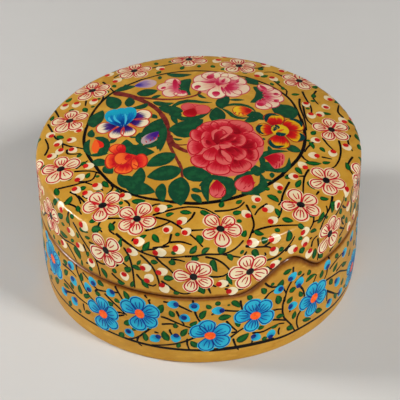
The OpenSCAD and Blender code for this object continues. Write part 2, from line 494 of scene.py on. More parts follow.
base_twigs = [
    [(-48.2, 26.4), (-48, 24.6), (-46.8, 22.3), (-45, 19.8), (-42.3, 17.3), (-39.5, 15.8)],
    [(-57, 21.8), (-53, 22.2), (-50.5, 22), (-48.4, 21.4)],
    [(-57, 15.5), (-53, 15), (-50.5, 13.9), (-47, 13.3), (-42.5, 13.1)],
    [(-56, 11.4), (-52, 13), (-50.3, 13.7)], [(-45.8, 12.3), (-45.5, 9.4)], [(-40, 9), (-40, 6.3)],
    [(-45, 25.3), (-42, 23.6)], [(-39.4, 20.2), (-38.4, 21.5), (-36.5, 22), (-34, 22.7)],
    [(-40.5, 22.6), (-38, 21.7)], [(-30.6, 26.2), (-29.3, 24.2), (-27.5, 21.6), (-26, 20.2)],
    [(-31.8, 23.5), (-29.3, 24)], [(-35.2, 21.5), (-32.5, 19.9), (-29.8, 18.3), (-26.2, 16)],
    [(-31, 15.5), (-29, 16.3), (-26.8, 16.3)], [(-30, 14.6), (-27.3, 15.9)],
    [(-17.2, 13.9), (-19.5, 11.5), (-22.3, 8.6), (-25, 6.9), (-27.5, 6.1)],
    [(-22.3, 8.8), (-23, 6.8), (-22.5, 5.6), (-21.2, 4.8)], [(-19.5, 26.1), (-18.4, 25)],
    [(-17.2, 24.7), (-18, 24.3), (-17.1, 22)],
    [(-14, 18.7), (-12, 18.4), (-8.5, 17), (-5.5, 15.8), (-2.5, 15)],
    [(-13.8, 15.7), (-11.5, 16.2), (-9.7, 16.3), (-7.8, 15.6)],
    [(-8.5, 21.8), (-7.3, 18.9), (-5.8, 16.2)], [(-8, 24), (-5.5, 22.8), (-3, 21.5)],
    [(-13, 24.8), (-10, 24.7)], [(-2.8, 26.2), (-2.6, 24.5)], [(-2.3, 22.2), (-1.5, 19.5), (0.3, 16.4)],
    [(-3.6, 15.1), (-3.7, 13.6), (-4.7, 12.6)],
    [(-1.8, 11.8), (-5, 10), (-9, 8.3), (-14, 7), (-18, 6.3)], [(-4.9, 10.9), (-5.1, 8.6), (-4.4, 6.2)],
    [(-10.8, 14.2), (-10.9, 13.2), (-10, 11.6)], [(-16.5, 12.1), (-14.8, 11.9)],
    [(7.6, 21.7), (10.5, 21), (13.5, 20.4)], [(3.3, 20.2), (4.6, 21)],
    [(13.3, 24.8), (13.6, 22.5), (14.1, 20.3)], [(8.3, 17.5), (10, 15.1), (12.2, 12.6)],
    [(8.6, 9.5), (12, 12.1), (14, 13.2), (15.8, 13.5)], [(10, 12.3), (12.2, 12.5)],
    [(10.7, 10), (11.5, 7.1), (12.8, 4.4)],
    [(17.4, 10.7), (21, 10), (24.5, 10.7), (27.5, 11.1), (30, 10.4)], [(17.9, 8), (17.4, 6.3)],
    [(22, 29.4), (23, 28), (25, 26.6), (27.8, 25.9), (29.4, 24.2), (30.2, 22.3)],
    [(21.7, 22.7), (23.8, 24.8), (26.2, 25.4)], [(32.6, 26.4), (30.8, 23.8), (30, 21), (29.7, 19)],
    [(29.9, 21.5), (29, 18), (29, 15), (30, 12), (32.3, 9.3), (34.6, 5)],
    [(24.5, 17.4), (27, 17.2), (29, 16.5)], [(25, 13.7), (28, 12.6), (30.5, 11.3)],
    [(28, 9.5), (27.5, 7.8), (28, 6.3)], [(33, 31.6), (33, 28.6)],
    [(38, 26.7), (35.8, 25.8), (33.6, 24.7)], [(35.8, 23), (37.5, 20.5), (38.2, 18), (38, 16.2)],
    [(37, 12.7), (35.5, 10.9), (35.2, 8), (36.3, 4.9)], [(31.8, 14), (32.3, 15)],
    [(41, 24), (43.8, 23.5), (42.2, 20.6)], [(49.7, 22.6), (49.5, 20.5), (48, 18.8)],
    [(51, 21.2), (54, 22), (57, 22.3), (60.5, 22.2)],
    [(49, 17.9), (54, 17), (58.5, 15.9), (61.5, 14), (66, 11.3)],
    [(50, 13.2), (53.5, 10.3), (56.5, 7.8), (58.5, 6.6)], [(50, 13.6), (50.3, 10), (50.3, 8.6)],
    [(55.5, 17.6), (60, 17.9)], [(50.3, 26.4), (51, 25.3)], [(-70, 11), (-66, 13), (-64, 14.6)],
    [(-72, 21), (-69.5, 20), (-68, 19.5)],
]
for twig in base_twigs:
    base_black.mark(deg(twig), 0.78, as_stroke, 10 if len(twig) > 3 else 6, 1)

# Leaves, buds and flowers round the base. They are touches of green, cyan with
# dark blue, and orange, each laid over the last once it has dried.


def leaf_green(name, deep, fresh, folded=1.0):
    """Leaf green, lighter along the middle of a leaf the more it is folded."""
    mix = Lacquer(name)
    brush = mix.node("ShaderNodeUVMap", uv_map="brush").outputs[0]
    side = mix.node("ShaderNodeSeparateXYZ", brush).outputs[0]
    patch = mix.mottle(1.8, 3)
    dim = mix.math("MULTIPLY", mix.math("ABSOLUTE", side), folded)
    lit = mix.between(mix.math("SUBTRACT", patch, dim), 0.5 - 0.85 * folded, 0.62)
    return mix.finish(mix.stir(lit, deep, fresh), patch, patch, 0.02)


def petal_paint():
    """Paint drawn out from a petal's heart to its rim in fine wet streaks."""
    mix = Lacquer("petal_paint")
    streaky = 0.5
    brush = mix.node("ShaderNodeUVMap", uv_map="brush").outputs[0]
    parts = mix.node("ShaderNodeSeparateXYZ", brush).outputs
    across = mix.stretched((4.5, 1.1, 1), place=brush)
    apart = mix.node("ShaderNodeVectorMath", across, mix.stretched((160, 160, 160)), operation="ADD")
    # The coordinates are stretched so far that a cloud this wide is a fine streak
    streak = mix.mottle(625, 3, 0.5, apart.outputs[0])
    edge = mix.math("POWER", mix.math("ABSOLUTE", parts[0]), 3.0)
    near_side = mix.math("MULTIPLY", edge, mix.math("SUBTRACT", 1.0, parts[1]))
    out = mix.math("MULTIPLY_ADD", near_side, 0.55, parts[1])
    fac = mix.math("SUBTRACT", mix.math("MULTIPLY_ADD", streak, streaky, out), streaky / 2)
    tones = [mix.node("ShaderNodeVertexColor", layer_name=name) for name in tone_names]
    heart, middle, rim = [tone.outputs[0] for tone in tones]
    inner = mix.stir(mix.between(fac, 0.26, 0.52), heart, middle)
    colour = mix.stir(mix.between(fac, 0.52, 0.78), inner, rim)
    return mix.finish(colour, streak, streak, 0.02)


def plain_paint(name, thick, thin, size=1.2):
    """One opaque colour, paler where it is thin."""
    mix = Lacquer(name)
    cloud = mix.mottle(size)
    colour = mix.stir(mix.between(cloud, 0.36, 0.66), thick, thin)
    return mix.finish(colour, cloud, cloud, 0.015)


def shades(*colours):
    """Tones of a petal's heart, middle and rim; one colour alone does for all."""
    return [pigment(*c) for c in (colours * 3)[:3]]


green_paint = leaf_green("border_green", pigment(8, 60, 26), pigment(22, 100, 34))
petals_paint = petal_paint()
blue_line_paint = plain_paint("dark_blue_line", pigment(10, 44, 124), pigment(16, 72, 160))
spot_paint = plain_paint("dark_blue_spot", pigment(12, 34, 100), pigment(22, 62, 140))
orange_paint = plain_paint("orange_eye", pigment(244, 84, 22), pigment(255, 112, 40))

cyan = shades((12, 110, 168), (26, 150, 194), (44, 178, 208))
base_leaf = Paint("base_leaves", on_base, base_chart, leaf_up)
base_petal = Paint("base_petals", on_base, base_chart, petal_up)
base_line = Paint("base_petal_lines", on_base, base_chart, line_up)
base_eye = Paint("base_flower_eyes", on_base, base_chart, eye_up)
base_spot = Paint("base_bud_spots", on_base, base_chart, line_up)

hand = random.Random(7)


def step_from(point, heading, length):
    """The point a length away, at a heading in degrees."""
    turn = math.radians(heading)
    return (point[0] + length * math.cos(turn), point[1] + length * math.sin(turn))


def leaf_touch(paint, middle, length, width, heading):
    """One touch of green: a pointed leaf, or a dot if it is short."""
    bend = hand.uniform(-0.12, 0.12) * length
    start = step_from(middle, heading + 180, length / 2)
    end = step_from(middle, heading, length / 2)
    mid = step_from(middle, heading + 90, bend)
    form = as_round if length < 1.9 else hand.choice((as_leaf, as_leaf, as_drop))
    paint.mark([start, mid, end], width * 1.14, form, 6, 2)


class Border:
    """The paints of one border and how its flowers are drawn.

    Breadth is the least and the most of a petal's width as a share of its
    length, and pen is the width of its outline.
    """

    def __init__(self, paints, breadth, pen):
        self.twig, self.leaf, self.petal, self.line, self.eye, self.spot = paints
        self.breadth, self.pen = breadth, pen


def five_petals(border, tones, middle, headings, size, eye_size, fine=False):
    """A border flower: five broad petals, each outlined and veined, and an eye."""
    for heading in headings:
        long = size * hand.uniform(0.94, 1.06)
        broad = long * hand.uniform(*border.breadth)
        side = hand.uniform(-0.35, 0.35)
        tip = step_from(middle, heading, long)
        belly = step_from(step_from(middle, heading, long * 0.55), heading + 90, side)
        steps, rows = (9, 6) if fine else (7, 4)
        border.petal.mark([middle, belly, tip], broad, as_paddle, steps, rows, tones, 0.45)
        slip = hand.uniform(-0.12, 0.12)
        loop = []
        for k in range(15):
            t = min(0.1 + 0.9 * math.sin(math.pi * k / 14), 0.99)
            half = broad * 0.4 * float(as_paddle(np.array(t)))
            way = 1 if k < 7 else -1 if k > 7 else 0
            at = step_from(middle, heading, long * 0.94 * t)
            at = step_from(at, heading + 90, way * half + slip + side * math.sin(math.pi * t) * 0.8)
            loop.append(at)
        border.line.mark(loop, border.pen, as_line, 26, 1)
        veins = (-14, 0, 13) if hand.random() < 0.6 else (-8, 9)
        for spread in veins:
            start = step_from(middle, heading + spread * 0.7, long * hand.uniform(0.26, 0.34))
            end = step_from(middle, heading + spread * 0.95, long * hand.uniform(0.66, 0.8))
            mid = step_from(middle, heading + spread * 1.3, long * 0.52)
            border.line.mark([start, mid, end], border.pen * 0.92, as_stroke, 5, 1)
    turn = hand.uniform(0, 360)
    ends = [step_from(middle, turn, eye_size / 2), step_from(middle, turn + 180, eye_size / 2)]
    border.eye.mark(ends, eye_size * 0.88, as_round, 8, 4)


def bud_touch(border, tones, spot, body, long, spot_size):
    """A drop-shaped bud with a darker spot where its stalk meets it."""
    heading = math.degrees(math.atan2(body[1] - spot[1], body[0] - spot[0]))
    if math.hypot(body[0] - spot[0], body[1] - spot[1]) < 0.3:
        heading = hand.uniform(0, 360)
    start = step_from(body, heading + 180, long * 0.5)
    end = step_from(body, heading, long * 0.5)
    border.petal.mark([start, end], long * hand.uniform(0.88, 0.98), as_bud, 7, 4, tones, 0.4)
    ends = [step_from(spot, heading + 90, spot_size / 2), step_from(spot, heading - 90, spot_size / 2)]
    border.spot.mark(ends, spot_size * 0.92, as_round, 6, 4)


base_paints = (base_black, base_leaf, base_petal, base_line, base_eye, base_spot)
base_border = Border(base_paints, (0.8, 0.9), 0.37)

# Degrees and height of each flower's middle, then the headings of its petals
base_flowers = [
    (-82, 9.5, (20, 95, 165, 235, 305)), (-65, 18.6, (41, 103, 172, 257, 330)),
    (-36.3, 12.7, (95, 28, -35, -98, 166)), (-21.5, 18.2, (97, 24, -34, -98, 161)),
    (2.8, 12, (98, 24, -39, -106, 153)), (18.6, 17.4, (103, 41, -30, -106, 166)),
    (43, 14.3, (107, 42, -22, -101, 177)), (71.5, 8.6, (80, 150, 222, 296, 10)),
]
for angle, z, headings in base_flowers:
    five_petals(base_border, cyan, deg([(angle, z)])[0], headings, 6.7, 3.4)

# Spot, then body, of each bud
base_buds = [
    ((-52, 23.8), (-51.2, 24.5)), ((-50.9, 19.4), (-50.3, 18.8)), ((-42.3, 19.7), (-42.8, 20.4)),
    ((-40, 23.4), (-40.4, 23.9)), ((-31.8, 23.4), (-32.6, 22.7)), ((-56.3, 11.1), (-57.6, 10.1)),
    ((-50.1, 11.3), (-51, 10.1)), ((-26.1, 9.6), (-25.7, 9.1)), ((-15.1, 10.4), (-16.5, 9.3)),
    ((-8.8, 11.8), (-9, 10.6)), ((-8.5, 24.2), (-9.6, 24.1)), ((-2.4, 23.8), (-2.3, 23.5)),
    ((-5.9, 19.2), (-5.6, 19)), ((7, 21.7), (5.4, 21.8)), ((18, 9.1), (19.1, 8.4)),
    ((24.5, 6.9), (24.7, 8.1)), ((28, 24.9), (27.3, 24.8)), ((31.9, 27.2), (32.8, 27.8)),
    ((35.5, 23), (36, 24.4)), ((32.2, 16.2), (33.2, 16.1)), ((50, 23), (49.6, 24)),
    ((60.6, 21.5), (61.7, 21.4)), ((55.7, 13.7), (57, 12.4)), ((51.6, 7.9), (52.2, 6.6)),
    ((59.2, 6.5), (60.2, 6.1)), ((68, 22.4), (68.8, 23.2)), ((-71, 24), (-70, 24.4)),
    ((-74, 14), (-75, 13)), ((78, 18), (79, 19)), ((84, 24), (85, 24)),
]
for spot, body in base_buds:
    bud_touch(base_border, cyan, *deg([spot, body]), 3.5, 1.85)

# Degrees, height, length, width and heading of each touch of green
base_leaves = [
    (-59.5, 24.5, 2, 1.2, 70), (-54.6, 23.5, 2.6, 1.9, 40), (-45.8, 23, 3.4, 1.7, 82),
    (-54.7, 19.5, 3.6, 1.8, 55), (-46.7, 17.4, 3.4, 1.9, 100), (-51.6, 16.3, 2.5, 1.7, 120),
    (-43.4, 16.3, 3.4, 1.6, 35), (-55.3, 13.6, 3.4, 1.3, 5), (-62.5, 11.3, 4.2, 2.1, 45),
    (-43.6, 9.7, 3.2, 1.4, 32), (-48.4, 7.8, 1.8, 1.3, 40), (-54.2, 7.6, 3, 1.6, 60),
    (-38, 19.8, 2.2, 1.7, 10), (-36.6, 24.6, 2.6, 1.9, -20), (-33, 18.5, 2.6, 1.9, 20),
    (-30, 20.5, 2.1, 1.5, -20), (-26.4, 24, 3.6, 1.8, 112), (-26.5, 13.4, 3.4, 1.9, 50),
    (-28.8, 7.2, 2.5, 1.9, 62), (-13.5, 21.8, 3.8, 2, 75), (-10, 20.4, 2.8, 1.8, 115),
    (-23.4, 11.6, 3, 1.3, 48), (-20, 9.2, 3.6, 1.8, 95), (-12.3, 11.2, 4.2, 2.3, 112),
    (-5.9, 13.2, 3.8, 1.8, 60), (-2.8, 17, 2.9, 1.5, 42), (0.8, 20.4, 3.9, 1.9, 66),
    (2.6, 23.6, 2.2, 1.5, 130), (5.6, 24.6, 1.8, 1.6, 0), (9.3, 23.5, 1, 0.7, 0),
    (11.7, 23.4, 3.8, 1.8, -50), (7.9, 18.8, 4, 2.2, 8), (12, 15.6, 3.2, 1.5, 115),
    (14.2, 9.6, 4.6, 2.6, 36), (-2.6, 8.6, 3.4, 2, 130), (-8, 7.7, 2.3, 1.4, 68),
    (16.3, 25, 2.3, 1.7, 120), (-9, 15.8, 2.2, 1.4, 95), (21.4, 26.2, 3, 1.8, 115),
    (24.9, 27.8, 1.3, 1.1, 0), (28, 26.9, 3.3, 2.1, 62), (30.6, 30.7, 3.1, 1.7, 12),
    (35.8, 27.8, 1.7, 1.5, 0), (39.9, 26.1, 2.2, 1.6, 92), (27, 20.9, 3.8, 2.2, 100),
    (33, 22.3, 2.5, 2, 10), (31.8, 19, 2.8, 1.8, 45), (36.7, 19.3, 3, 1.5, 118),
    (41, 23.3, 4.2, 1.6, 10), (46.4, 22, 3, 1.7, 75), (55.8, 24, 3, 1.6, -45),
    (64.4, 22.8, 2.8, 1.6, 120), (54.8, 19.8, 3.4, 1.8, 38), (62, 16.8, 4.2, 1.6, -25),
    (52.4, 15.4, 3.2, 1.9, -58), (28, 14, 2.8, 1.7, -12), (33.9, 12, 3.2, 1.6, 78),
    (20.7, 12, 2.3, 1.5, 0), (26, 10.9, 2.8, 1.2, 10), (32.3, 7.2, 3.2, 2, -40),
    (22.2, 7, 1.9, 1.6, 10), (40, 7.1, 4.2, 1.5, -25), (46, 7.6, 4.3, 1.9, -35),
    (60.8, 10, 2.5, 1.8, 60), (56, 7, 3.6, 1.5, -60), (64.5, 5.9, 3.2, 1.3, 150),
    (67, 17.8, 2.6, 1.5, 60), (73, 17.6, 3, 1.6, -50), (-70, 8, 3.2, 1.6, 40),
]
for angle, z, long, wide, heading in base_leaves:
    leaf_touch(base_leaf, deg([(angle, z)])[0], long, wide, heading)

degree = math.radians(1) * wall_r
# Room that each kind of touch needs round its middle
flower_room, bud_room, leaf_room = 5.6, 1.8, 1.4


class Spaces:
    """Keeps count of what is painted, so that new touches find a bare place."""

    def __init__(self, pick, inside):
        self.pick, self.inside = pick, inside
        self.taken = []

    def free(self, point, radius):
        return all(math.hypot(point[0] - x, point[1] - y) > radius + r for x, y, r in self.taken)

    def take(self, point, radius):
        self.taken.append((*point, radius))

    def take_seen(self, places, radius):
        """Takes places that start with degrees round the wall and height."""
        for angle, z, *rest in places:
            self.take(((angle % 360) * degree, z), radius)


def twigs_behind(border, spaces, middle):
    """Twigs that grow out from a flower wherever there is room for them."""
    for chance in range(5):
        if hand.random() < 0.25:
            continue
        heading = hand.uniform(0, 360)
        far = hand.uniform(9, 13)
        bend = hand.uniform(-28, 28)
        run = [step_from(middle, heading + bend * k / 3, 5.4 + (far - 5.4) * k / 3) for k in range(4)]
        if not spaces.inside(run[-1], 1.0) or not spaces.free(run[-1], 0.6):
            continue
        border.twig.mark(run, 0.5, as_stroke, 8, 1)
        for point in run[1:]:
            spaces.take(point, 0.4)
        side = step_from(run[2], heading + bend + hand.choice((-60, 60)), hand.uniform(2.2, 4))
        if spaces.inside(side, 0.8) and spaces.free(side, 0.3):
            border.twig.mark([run[1], run[2], side], 0.45, as_stroke, 6, 1)


def fill_border(border, tones, spaces, flowers, flower_size, buds, leaves):
    """Works round the unseen part in the rhythm of the part that is seen.

    Flower_size is the length of a petal and the width of an eye. Buds says how
    many there are, their length and the width of their spots.
    """
    bud_count, bud_long, spot_size = buds
    for middle, turn in flowers:
        headings = [turn + 72 * k + hand.uniform(-7, 7) for k in range(5)]
        five_petals(border, tones, middle, headings, *flower_size, True)
        spaces.take(middle, flower_room)
    for middle, turn in flowers:
        twigs_behind(border, spaces, middle)
    for count, radius, kind in ((bud_count, 1.7, "bud"), (leaves, 1.0, "leaf"), (leaves, 0.6, "dot")):
        laid = 0
        for attempt in range(6000):
            point = spaces.pick()
            if laid >= count or not spaces.inside(point, radius) or not spaces.free(point, radius):
                continue
            spaces.take(point, radius)
            laid += 1
            heading = hand.uniform(0, 360)
            if kind == "bud":
                spot = step_from(point, heading, bud_long * 0.28)
                bud_touch(border, tones, spot, point, bud_long, spot_size)
                stalk = [step_from(spot, heading + 20, 0.6), step_from(spot, heading - 10, 3.4)]
                if spaces.inside(stalk[1], 0.3):
                    border.twig.mark(stalk, 0.42, as_stroke, 5, 1)
            elif kind == "leaf":
                leaf_touch(border.leaf, point, hand.uniform(2.6, 3.8), hand.uniform(1.4, 2), heading)
            else:
                leaf_touch(border.leaf, point, 1.7, 1.4, heading)


def flowers_behind(count, first, apart, stray, heights):
    """Middles and turns of flowers spread round the back, by turns high and low."""
    flowers = []
    for k in range(count):
        angle = first + apart * k + hand.uniform(-stray, stray)
        z = heights[k % 2] + hand.uniform(-0.8, 0.8)
        flowers.append(((angle * degree, z), hand.uniform(0, 72)))
    return flowers


def pick_on_base():
    return hand.uniform(76, 284) * degree, hand.uniform(7, 26)


def inside_base(point, room):
    return 75 < point[0] / degree < 287 and 6.6 + room < point[1] < 25.9 - room


back_of_base = Spaces(pick_on_base, inside_base)
back_of_base.take_seen(base_flowers, flower_room)
back_of_base.take_seen([body for spot, body in base_buds], bud_room)
back_of_base.take_seen(base_leaves, leaf_room)
base_back = flowers_behind(10, 90.5, 18.6, 1.5, (18.6, 12.7))
fill_border(base_border, cyan, back_of_base, base_back, (6.5, 3.3), (44, 3.4, 1.85), 70)

for paint, material in ((base_black, black_paint), (base_leaf, green_paint), (base_petal, petals_paint),
                        (base_line, blue_line_paint), (base_spot, spot_paint), (base_eye, orange_paint)):
    paint.dry("base", material, "gold_lacquer_base")

# Lid. Its domed top and wall are moulded in one piece with the base's wall and
# sawn off it, so its edge has the same wave. It is gold outside, black inside.

lid_in_r = 47.56
lid_t = 2.4
top_z, dome_rise = 52.0, 6.7
shoulder_r, shoulder_in_r, lid_lip = 2.0, 1.2, 0.8
dome_r = (wall_r**2 + dome_rise**2) / (2 * dome_rise)
dome_mid = top_z - dome_r
edge_z = seam_z + gap / 2


def crown(dome, wall, edge, dome_steps):
    """A dome from its middle outwards, and the rounded edge down to the wall."""
    mid_r = wall - edge
    mid_up = math.sqrt((dome - edge) ** 2 - mid_r**2)
    meet = math.degrees(math.atan2(mid_up, mid_r))
    over = corner(0, dome_mid, dome, 90, meet, dome_steps)
    return over, corner(mid_r, dome_mid + mid_up, edge, meet, 0, 7)[1:]


top_out, shoulder_out = crown(dome_r, wall_r, shoulder_r, 16)
top_in, shoulder_in = crown(dome_r - lid_t, lid_in_r, shoulder_in_r, 10)
lid_runs = [
    (top_out + shoulder_out, 0),
    ([(wall_r, edge_z + up) for up in edge_rings[::-1]], 1),
    (corner(wall_r - lid_lip, edge_z + lid_lip, lid_lip, 0, -90, 6), 1),
    (corner(lid_in_r + inner_lip, edge_z + inner_lip, inner_lip, -90, -180, 3), 1),
    (shoulder_in[::-1] + top_in[::-1], 0),
]


def gold_side_of_lid(middle):
    r = math.hypot(middle.x, middle.y)
    skin = math.sqrt(max(dome_r**2 - r**2, 0)) + dome_mid
    return r > lid_gold_r or middle.z > skin - 1


# The tuple gives the seam's height and how far its painted shade and grime reach.
lid_skin = moulded_shell("lid_skin", lid_runs, (edge_z, 1.8, -0.5), gold_side_of_lid, False)
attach(lid_skin, "lid")
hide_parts("lid_shell")

# Black ring and twigs on the lid. The ring shuts off the bouquet in the middle,
# and the twigs run over the shoulder and down the wall, all freehand.

shoulder_mid_r = wall_r - shoulder_r
shoulder_up = math.sqrt((dome_r - shoulder_r) ** 2 - shoulder_mid_r**2)
wall_top = dome_mid + shoulder_up
meet = math.atan2(shoulder_up, shoulder_mid_r)
dome_end = math.pi / 2 - meet
dome_end_r = dome_r * math.sin(dome_end)


def over_lid(turn, rise, up):
    """Rise is how far a point lies above the straight wall, along the skin."""
    bend = np.clip(rise / shoulder_r, 0, meet)
    past = np.maximum(rise - shoulder_r * meet, 0)
    lean = dome_end - past / dome_r
    top = past > 0
    out = np.where(top, np.sin(lean), np.cos(bend))
    upward = np.where(top, np.cos(lean), np.sin(bend))
    r = np.where(top, dome_r * np.sin(lean), shoulder_mid_r + shoulder_r * np.cos(bend))
    z = np.where(top, dome_mid + dome_r * np.cos(lean), wall_top + np.minimum(rise, 0)
                 + shoulder_r * np.sin(bend))
    lip = edge_z + wave(turn)
    z = np.maximum(z, lip + edge_room + press * np.clip(z - lip + press_from, 0, press_from))
    under = np.clip((lip + lid_lip - z) / lid_lip, 0, steepest)
    flat = np.sqrt(1 - under**2)
    low = under > 0
    r = r - lid_lip * (1 - flat)
    out = np.where(low, flat, out)
    upward = np.where(low, -under, upward)
    return round_to_box(turn, r + out * up, z + upward * up)


def on_lid_wall(u, z, up):
    return over_lid(u / wall_r, z - wall_top, up)


def on_top(x, y, up):
    """A point on the lid seen from above, x to the right and y to the back."""
    r = np.hypot(x, y)
    lean = np.arcsin(np.clip(r, 0, dome_end_r) / dome_r)
    rise = shoulder_r * meet + (dome_end - lean) * dome_r - np.maximum(r - dome_end_r, 0)
    return over_lid(np.arctan2(x, -y), rise, up)


# Width of the sheet that the lid's paint is charted on, where the wall's strips
# start and how high one is, and how far up the middle of the top lies
lid_sheet, strips_from, lid_strip, top_middle = 172, 26, 27, 111


def lid_wall_chart(u, z):
    """The lid's wall unrolled in two strips below the round of its top."""
    strip = int((np.mean(u) + round_box / 4) % round_box // (round_box / 2))
    along = (u - strip * round_box / 2 + round_box / 2) % round_box - round_box / 2
    return np.stack([along + lid_sheet / 2, z - strips_from + lid_strip * strip], axis=-1) / lid_sheet


def lid_top_chart(x, y):
    return np.stack([x + lid_sheet / 2, y + top_middle], axis=-1) / lid_sheet


# Where marks on the top and on the wall start to bend over the shoulder
bend_r, bend_z = 48.2, 43.4


class LidPaint(Paint):
    """Paint that goes on the lid, on its top and on its wall."""

    def __init__(self, name, height):
        super().__init__(name, on_top, lid_top_chart, height)

    def go(self, part):
        self.skin = on_top if part == "top" else on_lid_wall
        self.chart = lid_top_chart if part == "top" else lid_wall_chart

    def on_bend(self, u, v, room):
        """True where a mark reaches the shoulder and must follow it closely."""
        if self.skin is on_top:
            return bool(np.any(np.hypot(u, v) + room > bend_r))
        return bool(np.any((v + room > bend_z) | (v - room < seam_z + lid_lip + wave(u / wall_r))))


lid_black = LidPaint("lid_ring_and_twigs", twig_up)
lid_leaf = LidPaint("lid_leaves", leaf_up)
lid_petal = LidPaint("lid_petals", petal_up)
lid_line = LidPaint("lid_petal_lines", line_up)
lid_eye = LidPaint("lid_flower_eyes", eye_up)
lid_spot = LidPaint("lid_bud_spots", line_up)
lid_paints = (lid_black, lid_leaf, lid_petal, lid_line, lid_eye, lid_spot)


def work_on(part):
    """Turns the box so that the brush works on its top or its wall."""
    for paint in lid_paints:
        paint.go(part)


ring = [
    ([(-9, -32.2), (0, -33.3), (10, -31.2), (19, -26.2), (25.3, -20.2)], 1.0),
    ([(24, -21.6), (30.4, -11.6), (32.6, -2), (31.9, 8)], 0.9),
    ([(32.1, 6), (29.2, 18.3), (23, 26.5), (15, 32)], 0.7),
    ([(16.4, 31.2), (4, 35.4), (-8, 35.2), (-19, 31)], 0.6),
    ([(-17.5, 31.8), (-27, 24.5), (-32.5, 14.5), (-34.7, 4)], 0.75),
    ([(-34.5, 6), (-35, -1), (-33.7, -8), (-30, -16.5)], 0.85),
    ([(-30.4, -15.8), (-25, -24.1), (-17.4, -29.5), (-8, -32.4)], 0.8),
]
for stroke, width in ring:
    lid_black.mark(stroke, width * 1.2, as_line, 26, 1)

top_twigs = [
    [(-37.5, -15.2), (-33, -16), (-30.5, -17.2), (-28.6, -18.8)],
    [(-36, -20), (-33.5, -20.5), (-31.5, -19.8), (-30.5, -16.8)],
    [(-42.3, -21.4), (-37, -21.1), (-34.2, -20.7), (-31.5, -22.4)], [(-29.8, -23.7), (-28.3, -25.4)],
    [(-26.1, -23.3), (-25.5, -24.6), (-26.2, -26), (-27.4, -27)],
    [(-34.6, -26), (-33, -27.5), (-31, -28.3)], [(-25.2, -27.3), (-23.8, -26.8), (-22.6, -26.8)],
    [(-36, -25.7), (-34.6, -27.6), (-33.2, -30)], [(-38.5, -23.5), (-36, -26), (-34.8, -29.5)],
    [(-22, -30.1), (-20.6, -31.8), (-20.7, -33), (-21.9, -33.2)], [(-24.4, -31.6), (-22.8, -33.3)],
    [(-18.4, -31), (-17.6, -33.4)], [(-14.8, -34), (-13, -33), (-11.3, -32.9)],
    [(-27.5, -36.4), (-24, -36.8), (-21.5, -37.4)],
    [(-13.8, -37), (-8, -35.3), (-3, -34.5), (1.5, -35.4), (4, -37), (6, -38.8)],
    [(4.2, -36.3), (8, -36), (11.3, -34.8), (13.2, -32.5)],
    [(-13, -37.7), (-8.5, -39.6), (-4.5, -43), (-1.5, -46), (0.8, -49)],
    [(-1.3, -36.4), (-2.6, -39), (-5, -41.1)], [(-16, -42.4), (-12, -41.4), (-8.3, -39.6)],
    [(-3.2, -43.2), (1.2, -43)], [(-8.2, -44), (-9, -47), (-10.8, -48)],
    [(-9, -47), (-5.5, -47), (-2.3, -48.2)],
    [(13.6, -33.5), (15, -37.5), (15.6, -41), (14.7, -44), (13.6, -47.4)],
    [(14.7, -43.8), (18, -42), (22, -40.8), (28.5, -39.8)], [(19.9, -32.7), (17.3, -35), (15.9, -37.5)],
    [(26.8, -23.2), (25, -27.5), (24, -31), (24, -34), (23, -37.5), (21.3, -39.2)],
    [(24.5, -31), (22.9, -33.2)], [(33, -16.8), (31.2, -21), (30.5, -27.8)],
    [(31.5, -20.2), (29.6, -20.6)], [(27.4, -20.6), (25.6, -20.6)],
    [(35.2, -3.6), (33, -7), (32, -9.5)], [(31, -11), (31.7, -12.5), (33, -13.5), (34.2, -13.9)],
    [(37, -10.6), (40.3, -10.9)], [(38, -1), (39.3, -4), (41, -6.4)],
    [(43, -1), (43.3, -4), (43.2, -7), (42.5, -10.5), (41, -14), (39.5, -15.4)],
    [(39.3, -27), (38.5, -31), (37, -35), (33.5, -37.6)], [(35.4, -25.8), (34.4, -27.5)],
    [(33, 17), (33.2, 11), (34, 7), (36, 4.5)], [(33.3, 25), (34, 21), (35.5, 15), (35.2, 10.5)],
    [(32.2, 20), (31.9, 15), (33, 7.5), (33.3, 1.5)], [(24.5, 30.5), (27, 26), (28.3, 24.3), (28, 21)],
    [(-45.3, 20), (-44, 16), (-43.4, 13.5)], [(-47, 12), (-45.3, 7), (-44, 3), (-42, 0.5), (-41.4, -3)],
    [(-42.5, 0), (-39, -3), (-36.3, -4.4), (-34.6, -5.6)],
    [(-40, -4), (-40, -6), (-38, -7), (-35.6, -7.2)], [(-37, -14.2), (-35.5, -12.8), (-33.3, -11.2)],
    [(-30.5, 33.5), (-28.5, 29.5), (-27, 26), (-26.6, 24.6)], [(-35.3, 22), (-35.4, 18.5)],
    [(-30.8, 25), (-29.8, 22.5), (-30.6, 19.2)], [(-44.5, -18.5), (-45, -14), (-46.8, -10)],
    [(-47, -5), (-46, -1), (-47.4, 4)], [(45.5, 12), (44, 15), (44.6, 19.5)],
    [(38, 27), (36.5, 22), (38, 17.5)], [(47, 3), (45.8, -0.8), (47, -5.5)],
    [(46.8, -8), (45, -12.5), (46.2, -16.5)], [(-40, -27.5), (-36.5, -30), (-34.5, -33.5)],
    [(-28.6, -36.3), (-29.5, -39), (-28.4, -41)], [(-24.5, -37.8), (-26.2, -40.5), (-24.6, -42.6)],
    [(22, 41), (19, 39), (15.8, 40.4)], [(28, 34), (24.5, 37), (21.5, 36.2)],
    [(-27, 35.5), (-24.3, 38), (-22, 38.7)], [(-15, 39.8), (-10, 41.5), (-5, 43.4)],
]
for twig in top_twigs:
    lid_black.mark(twig, 0.74, as_stroke, 12 if len(twig) > 3 else 7, 1)

